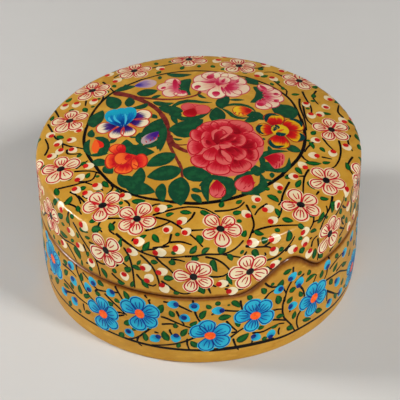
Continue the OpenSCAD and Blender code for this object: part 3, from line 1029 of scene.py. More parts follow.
wall_twigs = [
    [(-48.2, 43), (-46.5, 41.5), (-44.5, 39.3), (-41.5, 36.7), (-38.5, 34), (-37.3, 31.5), (-36.4, 27.7)],
    [(-37.8, 33.4), (-36.3, 33), (-34.8, 33.1), (-33.6, 33.7)], [(-40.8, 39), (-38, 39.3)],
    [(-51, 45.4), (-50.5, 42.5), (-50.1, 40.4)], [(-43.6, 37), (-42.5, 35), (-41.5, 32.6)],
    [(-42.7, 29.9), (-41.4, 30.8)], [(-58, 33.1), (-54, 33), (-50.5, 33.8), (-47, 34)],
    [(-52.8, 32.5), (-50.5, 30.8), (-48.7, 29.2), (-47.6, 28)], [(-61.5, 43), (-60, 41.5), (-58, 40.2)],
    [(-72.5, 31), (-70, 33.5), (-67, 35.2)], [(-31.6, 31), (-29.8, 29.8), (-27.2, 28.7)],
    [(-29.8, 34.3), (-28.4, 35.2)], [(-27.4, 36.8), (-24.9, 35.5)],
    [(-26.3, 42.6), (-25, 40.8), (-24, 38.5), (-23.3, 35), (-23, 31), (-22.8, 28)],
    [(-30, 46.2), (-27, 45.2), (-23.5, 44), (-20.5, 42.7), (-15, 41.8), (-10, 42.2), (-5, 42.9)],
    [(-5.4, 42.9), (-2, 43.1), (2, 43.7), (7, 43.4), (10, 44), (13, 45.4), (15, 46.8)],
    [(7, 43.5), (10.5, 42.2), (13.4, 41.2)], [(-20, 42.8), (-18, 43.8), (-15, 44.4)],
    [(-16, 44.6), (-13, 45.3), (-10.3, 45.9)], [(-23, 46.4), (-23.5, 45.3)],
    [(-20.4, 41.5), (-17.8, 39.5), (-15.8, 37), (-14.7, 34.5), (-14, 31.5), (-13.7, 28.9)],
    [(-15.1, 41.8), (-13, 39.7), (-10.5, 37.8), (-9, 36)], [(-9.9, 41.5), (-7.5, 41.5), (-5, 40.9)],
    [(-22, 33.7), (-20.5, 32), (-18.5, 30.8), (-16.3, 30.3), (-15, 31.3)],
    [(-13.4, 32.9), (-11, 31.2), (-8.5, 29.4), (-6, 28.6), (-4, 28.9), (-2.8, 30)],
    [(1.5, 42.8), (5, 41.7), (7.5, 39.8), (9, 38), (10.2, 36.2)],
    [(2.6, 35.3), (5.5, 34.9), (8, 35.2), (10, 36.6)], [(3, 32.3), (5.2, 31.1)],
    [(2.3, 31.2), (3.3, 28.6)], [(7.8, 30.1), (11, 29.1), (14.4, 28.9)], [(7.6, 33.6), (8.6, 31.5)],
    [(14.6, 41.7), (15.5, 43.1)], [(15, 44.9), (19, 43.8), (22.5, 43), (24.5, 41.7)],
    [(21.5, 43.3), (24.5, 44.6), (27, 46.2)],
    [(22.5, 37.8), (26, 38), (29, 39.3), (31.5, 41), (33.3, 43.1)], [(29.5, 38.7), (31.8, 40.3)],
    [(20.2, 40), (21.8, 39.7), (22.2, 40.1), (21.7, 41.1)], [(22.3, 35.4), (24, 34.2), (26, 33.4)],
    [(38.3, 41.7), (40.5, 43.5), (43, 46.2)], [(44.8, 40), (46.5, 42.5), (48.5, 44.5), (50, 46.4)],
    [(40.8, 35.5), (41.2, 37.5), (42.3, 38.3), (43.8, 38.5)],
    [(43.7, 37.6), (44.3, 34.5), (44.4, 31), (44, 28.6)],
    [(53, 40.6), (55.5, 41.7), (58.5, 43.5), (59.2, 44.6)], [(58, 42), (59.5, 40.3), (61.2, 39.2)],
    [(56.6, 34.3), (59, 32.5), (60.6, 31.4)], [(57.8, 37.6), (58.5, 35), (59.9, 33.5)],
    [(56.5, 30.8), (59, 31.5), (62, 33.2)], [(50.5, 28.5), (53, 29.4)], [(37.9, 39.4), (37.3, 40.4)],
    [(39.8, 39), (41, 39.2)], [(66.5, 44), (65.2, 41), (66.4, 37.5), (65.8, 33)],
    [(70.5, 35.2), (69, 32), (70.2, 28.6)],
]
work_on("wall")
for twig in wall_twigs:
    lid_black.mark(deg(twig), 0.8, as_stroke, 14 if len(twig) > 4 else 7, 1)
lid_black.mark(deg([(8.7, 31.5), (9.1, 30.6)]), 1.1, as_round, 6, 2)

# Leaves, buds and flowers of the lid's border. The petals are cream with thin
# red outlines and a black eye, and the buds are cream with a red spot.

cream = shades((230, 206, 158), (236, 217, 174), (240, 225, 188))
thin_cream = shades((214, 186, 138), (221, 199, 156), (226, 208, 170))
red_line_paint = plain_paint("red_line", pigment(178, 14, 28), pigment(202, 36, 42))
red_spot_paint = plain_paint("red_spot", pigment(176, 14, 18), pigment(214, 34, 28))
eye_paint = plain_paint("black_eye", pigment(12, 12, 14), pigment(34, 32, 30))
lid_border = Border(lid_paints, (0.73, 0.83), 0.46)

wall_flowers = [
    (-63.3, 36.7, (32, 103, 175, 252, -45)), (-33.4, 39, (136, 55, -14, -75, 213)),
    (-2.4, 35.3, (93, 38, -33, -103, 176)), (16.6, 35.2, (105, 42, -34, -117, 177)),
    (50.3, 35.6, (130, 78, 20, -56, 227)), (73.5, 41, (70, 142, 214, 286, 0)),
    (-80, 40.5, (15, 88, 160, 230, 300)),
]
for angle, z, headings in wall_flowers:
    five_petals(lid_border, cream, deg([(angle, z)])[0], headings, 6.4, 2.6, True)

wall_buds = [
    ((-54.9, 43.9), (-55.7, 44.7)), ((-44, 44), (-42.5, 43.9)), ((-51, 38.4), (-49.4, 38.5)),
    ((-46.4, 35.1), (-45, 34.9)), ((-40.2, 32), (-40.2, 31.2)), ((-55.7, 30.9), (-54.6, 31)),
    ((-24.2, 42), (-22.9, 41.8)), ((-26.6, 32.2), (-26.4, 31.5)), ((-19.6, 36.5), (-18.3, 37)),
    ((-14.1, 35.9), (-12.7, 36.5)), ((-18.3, 32), (-17.4, 33.3)), ((-13.1, 31.2), (-12.2, 29.9)),
    ((-15, 43.2), (-13, 43.6)), ((-8.3, 45.3), (-6.9, 45.2)), ((-22, 45.6), (-20.9, 45.8)),
    ((6, 32.1), (7.3, 32.2)), ((9.3, 28.9), (10.6, 28.9)), ((16.7, 45.7), (18, 45.4)),
    ((24.8, 41.4), (25.3, 40.2)), ((24.7, 35.1), (25.7, 35.4)), ((24.4, 45), (26, 44.8)),
    ((33.7, 37.9), (32.3, 38.5)), ((37.8, 38), (37.9, 39.2)), ((40.2, 34.4), (39.7, 33.5)),
    ((36.7, 43), (37.8, 42.9)), ((55, 43.7), (54.7, 44)), ((62.5, 39.8), (63.1, 38.2)),
    ((65, 28.9), (64.4, 30)), ((62.6, 45.2), (61.6, 44.6)), ((69, 30.5), (70, 31)),
    ((-71, 41), (-70.4, 42)), ((-74, 33), (-73, 33)),
]
for spot, body in wall_buds:
    bud_touch(lid_border, cream, *deg([spot, body]), 3.3, 1.95)

wall_leaves = [
    (-59, 44.5, 3.8, 1.8, 60), (-55.8, 41.5, 4, 1.9, 35), (-51.3, 42.5, 3.2, 1.6, 80),
    (-48.8, 44.8, 1.8, 1.4, 0), (-42.8, 42.2, 3.8, 1.5, 10), (-41.2, 40.6, 2.3, 1.1, 15),
    (-37.3, 44.9, 3.6, 2.1, 35), (-54.3, 38.9, 1.9, 1.1, 5), (-46.3, 39, 2.1, 1.1, 110),
    (-54.2, 35, 4.2, 1.7, 5), (-49.2, 35.3, 2.2, 1.2, 40), (-47, 31.7, 4.4, 2.6, -52),
    (-41.5, 34.1, 2, 1.2, 70), (-44.8, 29.1, 2.4, 0.9, 90), (-58.2, 29.4, 1.6, 1.4, 0),
    (-40.6, 28.8, 1.6, 1.4, 0), (-34.8, 29.6, 3.8, 1.6, -60), (-30.2, 32.2, 1.9, 1.6, 80),
    (-66, 31, 3.4, 2.2, -60), (-62, 29.2, 1.6, 1.3, 60), (-27.6, 43.8, 3.3, 1.3, 82),
    (-25.1, 38.6, 3, 1.3, 70), (-25.2, 34.8, 2.7, 2, 40), (-21.8, 36.1, 3, 1.7, -20),
    (-20.9, 38.3, 2.5, 1, 60), (-27.9, 28.7, 2.6, 1.5, 0), (-23.8, 29.3, 2.7, 1.3, 70),
    (-18.8, 30.6, 3.6, 1.8, -60), (-18.3, 44.8, 3.6, 1.8, 65), (-15.4, 39.4, 2.3, 1.7, 10),
    (-9.6, 40.4, 2.3, 2, 80), (-8.8, 43.9, 1.6, 1.3, 0), (-10.7, 33.9, 3.2, 2.1, 10),
    (-8.3, 28.7, 1.8, 1.3, 0), (-1.7, 41.8, 2.3, 1.9, 10), (-2.4, 45.3, 3.2, 1.6, 50),
    (1.8, 44.8, 3, 1.4, 35), (7.4, 45, 3.4, 2.3, 60), (4.7, 39.2, 5, 1.9, -75),
    (9.7, 41.8, 3.1, 1.6, -65), (9.8, 33.6, 5, 1.5, -76), (-0.1, 29.9, 3.2, 2.1, -55),
    (13.7, 43.2, 1.6, 1, 60), (18.7, 41.6, 3.8, 1.9, -62), (22, 45.4, 2.1, 2, 0),
    (31, 44, 3.8, 2.1, 80), (28, 40.4, 1.9, 1.7, 0), (27.6, 36.7, 1.4, 1, -50),
    (35.7, 41.2, 2.1, 1.3, -40), (36.6, 45.3, 2.4, 1.6, -50), (36.3, 36.2, 2.6, 2.1, -70),
    (41.5, 41.2, 3, 1.4, -20), (45.3, 44.4, 4.2, 1.8, 30), (48.3, 42.8, 1.1, 1, 0),
    (51.8, 44.6, 3.4, 1.6, 70), (42.3, 32.3, 4, 1.8, 82), (46, 29.7, 2.5, 1.9, -60),
    (57, 40.3, 2.6, 1.6, -70), (59.5, 36.5, 2.5, 1.2, -50), (62.2, 33.8, 3.2, 1.5, -65),
    (57.5, 28.8, 2.5, 1.6, 20), (60.6, 42.8, 2.5, 1.2, -60), (65.8, 36, 3, 1.5, 70),
    (68, 39.6, 3.2, 1.5, -50), (71.5, 33.5, 3.2, 1.8, -45), (27, 43.9, 1.1, 0.9, 0),
]
for angle, z, long, wide, heading in wall_leaves:
    leaf_touch(lid_leaf, deg([(angle, z)])[0], long, wide, heading)

work_on("top")
# Flowers further out than this bend over the shoulder and are made more finely
near_shoulder = 41.5
top_flowers = [
    (5.9, -42.7, (50, 128, 205, -85, -8)), (-18.2, -37.8, (58, 142, 208, -92, -20)),
    (-28.4, -31.2, (118, 35, -35, -102, 178)), (-41.6, -12.9, (88, 20, -58, -122, 165)),
    (29.6, -32.1, (108, 42, -28, -95, 190)), (37.8, -20.9, (125, 62, -5, -72, 212)),
    (41.1, 4, (98, 35, -38, -108, 172)), (-40, 11.1, (88, 18, -58, -124, 162)),
    (-33.6, 28.1, (90, 20, -52, -128, 160)), (32.8, 32.3, (75, 150, 222, 294, 5)),
    (13.6, 40.3, (92, 20, -50, -124, 165)), (-20.4, 39, (85, 12, -60, -130, 158)),
    (-2.6, 45.8, (120, 50, -25, -95, 190)),
]
for x, y, headings in top_flowers:
    five_petals(lid_border, thin_cream, (x, y), headings, 6.2, 2.5, math.hypot(x, y) > near_shoulder)

top_buds = [
    ((-34, -13.6), (-32.9, -13.8)), ((-36.3, -19.1), (-35.4, -18.2)), ((-30.8, -22.6), (-30, -23.4)),
    ((-33.8, -25.2), (-32.6, -26)), ((-37, -22.8), (-36.4, -23.4)), ((-22.7, -28.2), (-21.3, -28.9)),
    ((-12.4, -35), (-10.9, -34.6)), ((-5.9, -40.1), (-5, -39.5)), ((-9.7, -42.6), (-9.3, -42.4)),
    ((-4.4, -43.9), (-3.9, -43.5)), ((14, -37.7), (13.4, -37)), ((17, -31.5), (16.6, -31.2)),
    ((23.8, -26.2), (23.2, -25.5)), ((19, -35.2), (20.3, -34.6)), ((20.5, -39.4), (21.3, -38.8)),
    ((28.7, -20.8), (28, -20.9)), ((31.8, -16.4), (30.9, -15.4)), ((35.7, -10.4), (34.5, -10.4)),
    ((40.9, -7.2), (40.6, -8.2)), ((36.3, -2.6), (35.7, -2.8)), ((45, -3), (45.4, -3.9)),
    ((40.3, 16.6), (40.2, 17)), ((35.2, 11.2), (35.3, 10.2)), ((34, 17.3), (34, 16.6)),
    ((-36.8, 4.6), (-37, 5.3)), ((-39.6, 0.6), (-38.8, 0.3)), ((-43.4, -0.7), (-43, 0.1)),
    ((-42, -3.7), (-42.4, -4.4)), ((-38.7, -4.5), (-38.2, -5)), ((-32.6, 21.3), (-32.9, 20.2)),
    ((-38.3, 21.4), (-38.4, 20.2)), ((-42, 21.5), (-42.2, 20.4)), ((-45.4, 4.7), (-45.8, 5.4)),
    ((19.2, 33), (20, 34.6)), ((24, 32.6), (24.6, 31.6)), ((-26.4, 32.4), (-25.6, 33.2)),
    ((42, 22.2), (41.4, 23)), ((37.8, 11.2), (38.2, 12)), ((45.6, 9.8), (45, 10.6)),
    ((-45.4, -5.6), (-44.6, -6)), ((7, 45), (6.4, 44)), ((-11.4, 38.4), (-12, 39.2)),
    ((21.8, 43.2), (22.6, 42.4)), ((-29.2, 38.2), (-28.4, 38.6)), ((27.4, 38.6), (28, 39.6)),
]
for spot, body in top_buds:
    bud_touch(lid_border, thin_cream, spot, body, 3.1, 1.9)

top_leaves = [
    (-33, -18, 2.5, 1.5, 70), (-30.2, -18.9, 1.3, 1, 0), (-34.4, -23.1, 2.1, 1.7, 20),
    (-27.6, -22.8, 3.5, 1.7, -60), (-29.8, -26, 1.9, 1.8, 0), (-24.2, -26, 1.2, 1.1, 0),
    (-23, -31.2, 1.4, 1.3, 0), (-23.2, -34, 3.2, 1.7, 65), (-17.8, -31, 4.2, 1.9, -5),
    (-8.7, -34.2, 2, 1.3, 0), (-35.6, -31, 2.6, 1.4, 100), (-34.7, -12.2, 1.8, 1.6, 0),
    (-36, -8.3, 1.9, 1.3, 30), (-4, -36.6, 3.6, 1.6, -10), (-8.6, -37.2, 2.5, 1.4, 20),
    (2, -36.9, 3.9, 1.7, -25), (11, -36.8, 2.9, 1.6, 15), (8.9, -38.9, 2.1, 1.5, 80),
    (-12.6, -45.3, 3.6, 1.7, -60), (-6.5, -44.3, 1.5, 1.2, 0), (-0.3, -46.4, 3.2, 2, -70),
    (6.5, -33.8, 2.5, 1.6, 70), (11.5, -32.6, 2.3, 1.3, 35), (15.8, -34.3, 1.5, 1.2, 0),
    (17, -29.8, 1.5, 1.2, 0), (21.5, -30.8, 4.2, 1.9, -35), (20, -26.8, 1.6, 1.4, 0),
    (23.6, -28, 1.4, 1.2, 0), (22.5, -35.8, 3.1, 1.6, 110), (25.5, -38.3, 3.4, 1.8, -10),
    (22.3, -42.3, 1.7, 1.4, 0), (26.4, -21.7, 2.1, 1.3, 15), (29.4, -23.7, 3.8, 1.6, 65),
    (33.2, -23.8, 3.6, 1.7, -60), (29.9, -18.2, 3.4, 1.7, -60), (34.4, -13.9, 5, 1.7, 5),
    (38.4, -12.8, 2.7, 1.3, 20), (34.3, -5.8, 3.4, 1.3, -70), (33.5, -3.6, 1.2, 1, 0),
    (37.7, -7, 2.5, 1.4, -60), (35.4, 0.8, 2.7, 1.6, 60), (44.7, -13, 3.5, 1.5, 100),
    (36.8, -28.4, 2.7, 1.5, 0), (17, -43.6, 3.1, 1.6, -20), (-42.3, -22.5, 3.5, 1.7, 105),
    (-38.7, -27, 3.7, 1.8, 60), (-25.5, -39.6, 3.3, 1.7, 110), (-16.3, -44.5, 2.3, 1.3, 30),
    (-43.5, -6.3, 2.1, 1.4, 60), (-42.5, 3, 3.1, 1.6, -40), (-35.3, 16, 3.2, 1.7, -70),
    (-38.4, -17.6, 2.6, 1.5, 60), (27.3, 25.6, 2.2, 1.2, 100), (31, 22.3, 2.9, 1.4, 20),
    (36.6, 23, 3, 1.5, 80), (40.3, 13, 2.9, 1.4, 0), (34.4, 14.2, 1.4, 1.1, 0),
    (37.8, 29.4, 2.6, 1.6, 60), (21.6, 33.2, 3, 1.6, 35), (15.3, 35.2, 2, 1.5, 90),
    (25.7, 29.7, 2, 1.2, 60), (23.8, 27.8, 2, 1.2, 110), (-28.8, 25.6, 1.9, 1.3, -40),
    (-26.4, 29, 2.3, 1.3, -70), (-31.2, 21.7, 1.3, 0.9, -60), (-33, 17.4, 1.3, 1, 0),
    (-36.5, 34.2, 3, 1.5, 40), (-24, 34.5, 2, 1.3, 100), (-17.4, 34.6, 3.2, 1.6, 90),
    (-12.2, 35.8, 2.4, 1.5, 60), (-4.6, 38.6, 3, 1.4, 75), (5.2, 39.4, 2.2, 1.5, 110),
    (8.6, 37.2, 2, 1.4, 60), (20.6, 38.8, 2.4, 1.5, 45), (-8.4, 44.6, 2.4, 1.4, 30),
    (-13.4, 43.4, 2.2, 1.4, 100), (0.6, 39.6, 2.2, 1.2, 90), (-41, 24.6, 2.8, 1.6, 50),
    (-45.6, 14.8, 2.8, 1.4, 80), (-39.8, 17.4, 1.8, 1.2, 30), (44.4, 22, 2.8, 1.6, 75),
    (46.4, 7, 2.6, 1.4, 100), (36.4, 19.4, 1.6, 1.1, 30), (-47, -10.6, 2.6, 1.4, 80),
    (39.6, -29.6, 2.2, 1.4, 40), (33, -35.4, 2.8, 1.6, 30), (-31, -36.4, 2.6, 1.5, 20),
    (12.8, -44.2, 2.6, 1.5, 70), (11.4, -39.8, 1.6, 1.2, 0), (-14.6, -33.6, 1.4, 1, 0),
]
for x, y, long, wide, heading in top_leaves:
    leaf_touch(lid_leaf, (x, y), long, wide, heading)


def pick_on_lid():
    return hand.uniform(74, 286) * degree, hand.uniform(28, 45.5)


def inside_lid(point, room):
    return 74 < point[0] / degree < 287 and 28 + room < point[1] < 46.2 - room * 0.4


work_on("wall")
back_of_lid = Spaces(pick_on_lid, inside_lid)
back_of_lid.take_seen(wall_flowers, 5.4)
back_of_lid.take_seen([body for spot, body in wall_buds], bud_room)
back_of_lid.take_seen(wall_leaves, 1.3)
# Flowers that hang over from the top
for x, y, headings in top_flowers:
    if math.hypot(x, y) > 43:
        angle = math.atan2(x, -y) % math.tau
        back_of_lid.take((angle * wall_r, 45.5 + 48.5 - math.hypot(x, y)), 5.2)
lid_back = flowers_behind(7, 98, 26.2, 2, (34.6, 38.4))
fill_border(lid_border, cream, back_of_lid, lid_back, (6.2, 2.6), (46, 3.2, 1.95), 64)

for paint, material in ((lid_black, black_paint), (lid_leaf, green_paint), (lid_petal, petals_paint),
                        (lid_line, red_line_paint), (lid_spot, red_spot_paint), (lid_eye, eye_paint)):
    paint.dry("lid", material, "gold_lacquer_lid")

# Bouquet inside the ring: its branch and leaves. Brown and dark green, they are
# painted first, and the big flowers are laid over their ends.

bouquet_sheet, bouquet_low = 74, 36


def bouquet_chart(x, y):
    return np.stack([x + bouquet_sheet / 2, y + bouquet_low], axis=-1) / bouquet_sheet


class BouquetPaint(LidPaint):
    """Paint for the bouquet, which lies well inside the ring."""

    def __init__(self, name, height):
        super().__init__(name, height)
        self.chart = bouquet_chart


branch = BouquetPaint("bouquet_branch", 0.034)
bouquet_leaf = BouquetPaint("bouquet_leaves", 0.045)
branch_strokes = [
    ([(-26.6, 24.2), (-24.5, 23), (-22, 21.4), (-19.5, 19.4), (-17, 17)], 2.6),
    ([(-20.5, 20.2), (-16.5, 16.2), (-13.5, 12.5), (-11.4, 8.6), (-10, 4.5)], 1.9),
    ([(-11.5, 8.8), (-9.8, 4), (-9.2, 0), (-8.9, -4), (-8, -7.4)], 1.7),
    ([(-8.9, -3), (-8, -7), (-6, -9.6), (-3, -11.9)], 1.9),
    ([(-8.4, -6.4), (-6, -8.2), (-3.2, -8.2)], 0.7),
    ([(-9.6, -4), (-8.3, -9.5), (-6.8, -14), (-5.4, -18.5), (-4.9, -23)], 1.1),
    ([(-6.2, -15.5), (-5.2, -19), (-4.9, -23)], 1.1),
    ([(-20, 19.8), (-16, 18.4), (-12, 17.1), (-7, 16.5), (-3, 17.3), (0, 19), (1, 21.4)], 1.15),
    ([(0.4, 19.4), (1, 21.4)], 1.3),
]
for stroke, width in branch_strokes:
    branch.mark(stroke, width, as_stroke, 16, 2)

bouquet_leaves = [
    ([(-5.2, -19.2), (-10, -20.6), (-15.4, -21.7)], 6.4),
    ([(-4.7, -19.4), (-0.5, -21.6), (4, -22.6)], 6.6), ([(-5.2, -22.6), (-6, -28), (-5.4, -34)], 6.6),
    ([(-7, -12.4), (-10.6, -14.2), (-15.6, -17)], 5.6),
    ([(-10.8, -24.8), (-11.3, -28.5), (-10.6, -32.3)], 3.4), ([(-2.3, -27.6), (0.8, -28.8)], 1.8),
    ([(-2.4, -29.7), (-1, -31), (0.6, -33.2)], 2.4),
    ([(-20, -25.6), (-22.2, -22.8), (-23.9, -19.2)], 3.8),
    ([(-20.5, -27), (-18, -22), (-17.2, -17.2)], 4.6),
    ([(-21.6, -23), (-18.6, -25.6), (-13, -28.2)], 5.2),
    ([(-23.4, -20.4), (-20, -22.6), (-17, -22)], 3.4),
    ([(-19, -12.4), (-21.6, -8), (-21.9, -3.6)], 5.4),
    ([(-22.6, -6.5), (-18.6, -10), (-13.2, -11)], 5.6), ([(-19.5, -10), (-18, -7.6), (-17.4, -6.2)], 3),
    ([(-17, -2), (-13.6, 1), (-11.2, 5.8)], 5.4), ([(-10.6, 3), (-11, -4), (-11.6, -10.8)], 3),
    ([(-11.4, -6), (-12.4, -9.8)], 1.8), ([(-17.9, -0.8), (-18.2, -4), (-16.8, -7.4)], 2),
    ([(-17, -7.8), (-13.6, -7.4), (-10.6, -4.4)], 2.4), ([(-19, -2.6), (-13, -1), (-11, 1)], 3.4),
    ([(-21.5, -1.8), (-19.8, -2.9), (-17.2, -2.4)], 0.8),
    ([(-26.8, -4.6), (-25.8, -3.2), (-24.7, -1.9)], 1.9),
    ([(-33.2, -1), (-34.1, -3.4), (-33.9, -6.4), (-32.4, -9.2)], 2.1),
    ([(-31.7, -0.4), (-29, -2.2), (-27.9, -6), (-28.2, -10)], 2.6),
    ([(-33, -8.9), (-30, -9.3), (-27.2, -9.3)], 1.6),
    ([(-28.4, -9.2), (-29.6, -7.8), (-29.1, -6)], 2.2),
    ([(-31.9, -11.8), (-30, -12.8), (-27.4, -14.4)], 3.4), ([(-28.3, -13.6), (-27.3, -15.4)], 0.9),
    ([(-28.4, -15), (-27.3, -16.6), (-25.7, -18.7)], 3.2), ([(-32.3, 5), (-31.8, 9), (-29.7, 14)], 5),
    ([(-32.2, -0.2), (-33, 2), (-32.7, 4)], 2.3), ([(-25.6, 13.8), (-26.4, 18), (-28.3, 22.3)], 5),
    ([(-21.5, 14.2), (-21.3, 17), (-21.6, 20)], 3.3), ([(-26, 25.2), (-23, 26.6), (-19.6, 27)], 3.2),
    ([(-23, 26), (-22.9, 29.2)], 1.7), ([(-19.2, 22), (-16, 22), (-12.6, 22.9)], 4.8),
    ([(-14.5, 18), (-11.5, 19.7)], 1.8), ([(-15.6, 15.2), (-17.4, 13.4), (-20.6, 13)], 2.5),
    ([(-14, 15.8), (-10.6, 13.8), (-7.3, 14.3)], 2.6), ([(-14.6, 8.4), (-12.5, 6)], 2),
    ([(-8.6, 10), (-6.6, 13.6), (-3, 15.2), (1, 14.3), (4.6, 13.9)], 1.9),
    ([(-8.4, 9.8), (-6, 5.8), (-2.2, 4.7), (1.4, 6.4), (4.7, 10.5)], 2.2),
    ([(-4.6, 9), (-8, 10.2), (-12.2, 12.4)], 4.6), ([(-7.6, 9), (-7.4, 5.4), (-6.3, 1.8)], 2),
    ([(-5, 7), (-7, 7.6), (-9, 7.6)], 3.4), ([(-9, -0.6), (-3.6, 0.4), (1.6, 4.4)], 7),
    ([(-8, -0.4), (-4, -2.6), (0.6, -1.6)], 4.6), ([(-7.6, -4.9), (-6.3, -5.6), (-4.8, -5.6)], 1.1),
    ([(-9.8, 34.2), (-6, 32.6), (-1.8, 33)], 2.8), ([(-12, 30.6), (-12, 33)], 1.4),
    ([(-2.2, 29.8), (-4.6, 26), (-4.4, 22), (-2.2, 18.8)], 4.9),
    ([(0.2, 19.4), (1.2, 17.6), (2.8, 16.6)], 1.4), ([(7.2, 10.4), (7.6, 14), (9.6, 18.6)], 4.2),
    ([(5.3, 2.4), (6, 6), (5.8, 11.2)], 5.2), ([(9.8, 15.8), (14.7, 16)], 1.3),
    ([(7, 11), (9.5, 12.6), (12, 13.2), (15, 12.7), (17.2, 10.8), (18, 8.6)], 1.4),
    ([(7.2, 10.7), (9.4, 8.6), (11, 6.2), (13.4, 5.3), (16, 6)], 1.5),
    ([(15, 7), (17.8, 7.6), (20.2, 5)], 4), ([(18.2, 9.4), (17.2, 5.6), (14, 3.1)], 3.2),
    ([(17.8, 25), (20.6, 21.6), (19.6, 17.4), (16.4, 14.6)], 4.7),
    ([(15.2, 30.6), (17, 29), (19.4, 26.4)], 4), ([(26.2, 15), (25.8, 11), (29.6, 7.4)], 5.6),
    ([(26, 14.6), (29, 12), (29.8, 7.6)], 4.2), ([(26.4, -7.2), (28.6, -8.4), (31, -9.4)], 3.4),
    ([(19.2, -4.9), (20.4, -4.9)], 1.1), ([(4.8, -22), (2, -25.4), (1.8, -29), (2.6, -33)], 2.6),
    ([(4, -22.6), (8.4, -24.6), (9.4, -28.4), (6.2, -32.6)], 3.8), ([(0, -26.6), (3.6, -22.8)], 1.4),
    ([(4.3, -24), (6.2, -21.2)], 3),
    ([(11.6, -28.4), (10.9, -25), (12.7, -21.8), (16, -20.6), (18.8, -21.8)], 2.2),
    ([(12.2, -29.2), (17, -27.9), (19, -25), (18.2, -20.6)], 3),
    ([(17.4, -22), (17, -19.6), (15.8, -17)], 3.4), ([(17.8, -23.2), (22, -23.6)], 1.1),
    ([(21.7, -20), (21.6, -22.4)], 1.6),
    ([(20.4, -19), (18.8, -15), (20.2, -11.6), (23, -10.4), (27.2, -9.8)], 2.2),
    ([(21.9, -11.2), (21.1, -8.1)], 1.5), ([(18.6, -16), (20.6, -17.6), (23.2, -17.4)], 4.4),
    ([(18.8, -18.6), (24, -19), (26.6, -17), (27.2, -12.6)], 1.9), ([(17, -19), (19.6, -20)], 3),
]
for stroke, width in bouquet_leaves:
    bouquet_leaf.mark(stroke, width, as_leaf, 10, 4)

brown_paint = plain_paint("branch_brown", pigment(96, 26, 24), pigment(128, 46, 38), 2)
deep_green = leaf_green("bouquet_green", pigment(20, 66, 42), pigment(26, 84, 48), 0.15)
branch.dry("lid", brown_paint, "gold_lacquer_lid")
bouquet_leaf.dry("lid", deep_green, "gold_lacquer_lid")

# Flowers of the bouquet. Each petal is drawn out in streaks from a dark heart to
# a pale rim, then outlined, and the next petal is laid over it.

bouquet_petal = BouquetPaint("bouquet_petals", 0.056)
bouquet_line = BouquetPaint("bouquet_outlines", 0.062)
petal_lift = 0.004


def outlined_petal(base, tip, width, tones, reach, line, thick, level):
    """One petal from its base to its tip, with a fine outline round its rim."""
    long = math.hypot(tip[0] - base[0], tip[1] - base[1])
    heading = math.degrees(math.atan2(tip[1] - base[1], tip[0] - base[0]))
    middle = step_from(base, heading, long * 0.55)
    lift = petal_lift * level
    bouquet_petal.mark([base, middle, tip], width, as_petal, 10, 8, tones, reach, lift)
    if line is None:
        return
    spine = drawn([base, middle, tip])
    loop = []
    for k in range(17):
        t = 0.1 + 0.885 * math.sin(math.pi * k / 16)
        whole, part = divmod(t * (len(spine) - 1), 1)
        here, ahead_of_it = spine[int(whole)], spine[min(int(whole) + 1, len(spine) - 1)]
        half = width * 0.49 * float(as_petal(np.array(t)))
        way = 1 if k < 8 else -1 if k > 8 else 0
        loop.append(step_from(here + (ahead_of_it - here) * part, heading + 90, way * half))
    bouquet_line.mark(loop, thick, as_line, 26, 1, [line] * 3, lift=lift)


def lay_petals(petals, line, thick, *look):
    """Lays petals one over another; look is the tones and reach if all share them."""
    for k, (base, tip, width, *own) in enumerate(petals):
        outlined_petal(base, tip, width, *(own or look), line, thick, k)


def touch_up(touches, form, steps, rows, tones, lift=0.0, reach=0.5):
    """Lays touches of one colour, each a line of points and a width."""
    for stroke, width in touches:
        bouquet_petal.mark(stroke, width, form, steps, rows, tones, reach, lift)


# Pink rose: its ground, its petals and the folds between them
rose = shades((176, 16, 32), (204, 48, 60), (216, 102, 96))
rose_dark = shades((138, 8, 22), (178, 22, 38), (212, 90, 86))
rose_pale = shades((196, 36, 52), (212, 88, 86), (216, 102, 96))
rose_line = pigment(184, 14, 34)
rose_ground = [([(8.2, -22.6), (8.3, -9), (9.4, 4.6)], 21.5), ([(-3.4, -11), (8, -9), (19.6, -7)], 21.5)]
touch_up(rose_ground, as_round, 14, 10, shades((208, 96, 90)))
rose_petals = [
    ((3.4, -3), (0.6, 0.9), 4.6, rose, 0.6), ((5, -2.6), (2.6, 2.9), 5.6, rose, 0.66),
    ((7.6, -2), (6.4, 4), 6.2, rose, 0.66), ((10.4, -3.4), (14.4, 3.4), 8.4, rose_dark, 0.5),
    ((12.6, -8), (18.7, -3.6), 8.6, rose, 0.72), ((13.2, -12.4), (18, -12.2), 6.6, rose_dark, 0.62),
    ((10.6, -14.6), (13.6, -20.4), 7, rose_dark, 0.55), ((6.4, -15.4), (5.4, -22), 7.2, rose, 0.6),
    ((3, -13.4), (-1.4, -17.8), 6.2, rose, 0.66), ((1.6, -9.6), (-3.3, -9.8), 7, rose, 0.62),
    ((2.2, -3.4), (-2.4, -4.4), 6, rose, 0.66), ((5.6, -6), (0.6, -6), 8.6, rose, 0.7),
    ((4.6, -9.6), (2.8, -16), 4.8, rose, 0.6), ((12, -9.6), (17.6, -6.8), 5.4, rose_dark, 0.8),
    ((8.4, -9.6), (13.6, -14.8), 6.4, rose_dark, 0.64), ((6.6, -10), (8.4, -17.9), 5.6, rose_dark, 0.5),
    ((7.4, -11), (9.6, -16.6), 2.2, rose_pale, 0.3), ((6.8, -7), (9.2, -10.1), 4.4, rose, 0.5),
    ((8.8, -5.4), (14.5, -6.8), 6.2, rose_dark, 0.62), ((7.6, -5.8), (8.8, 1), 4.8, rose_pale, 0.4),
    ((5.6, -8.6), (6.4, -0.6), 5, rose_dark, 0.66), ((7.2, -6.8), (11.4, -3.6), 3.4, rose_dark, 0.65),
]
lay_petals(rose_petals, rose_line, 0.4)
dark_fold = shades((140, 8, 22), (156, 12, 26), (182, 24, 40))
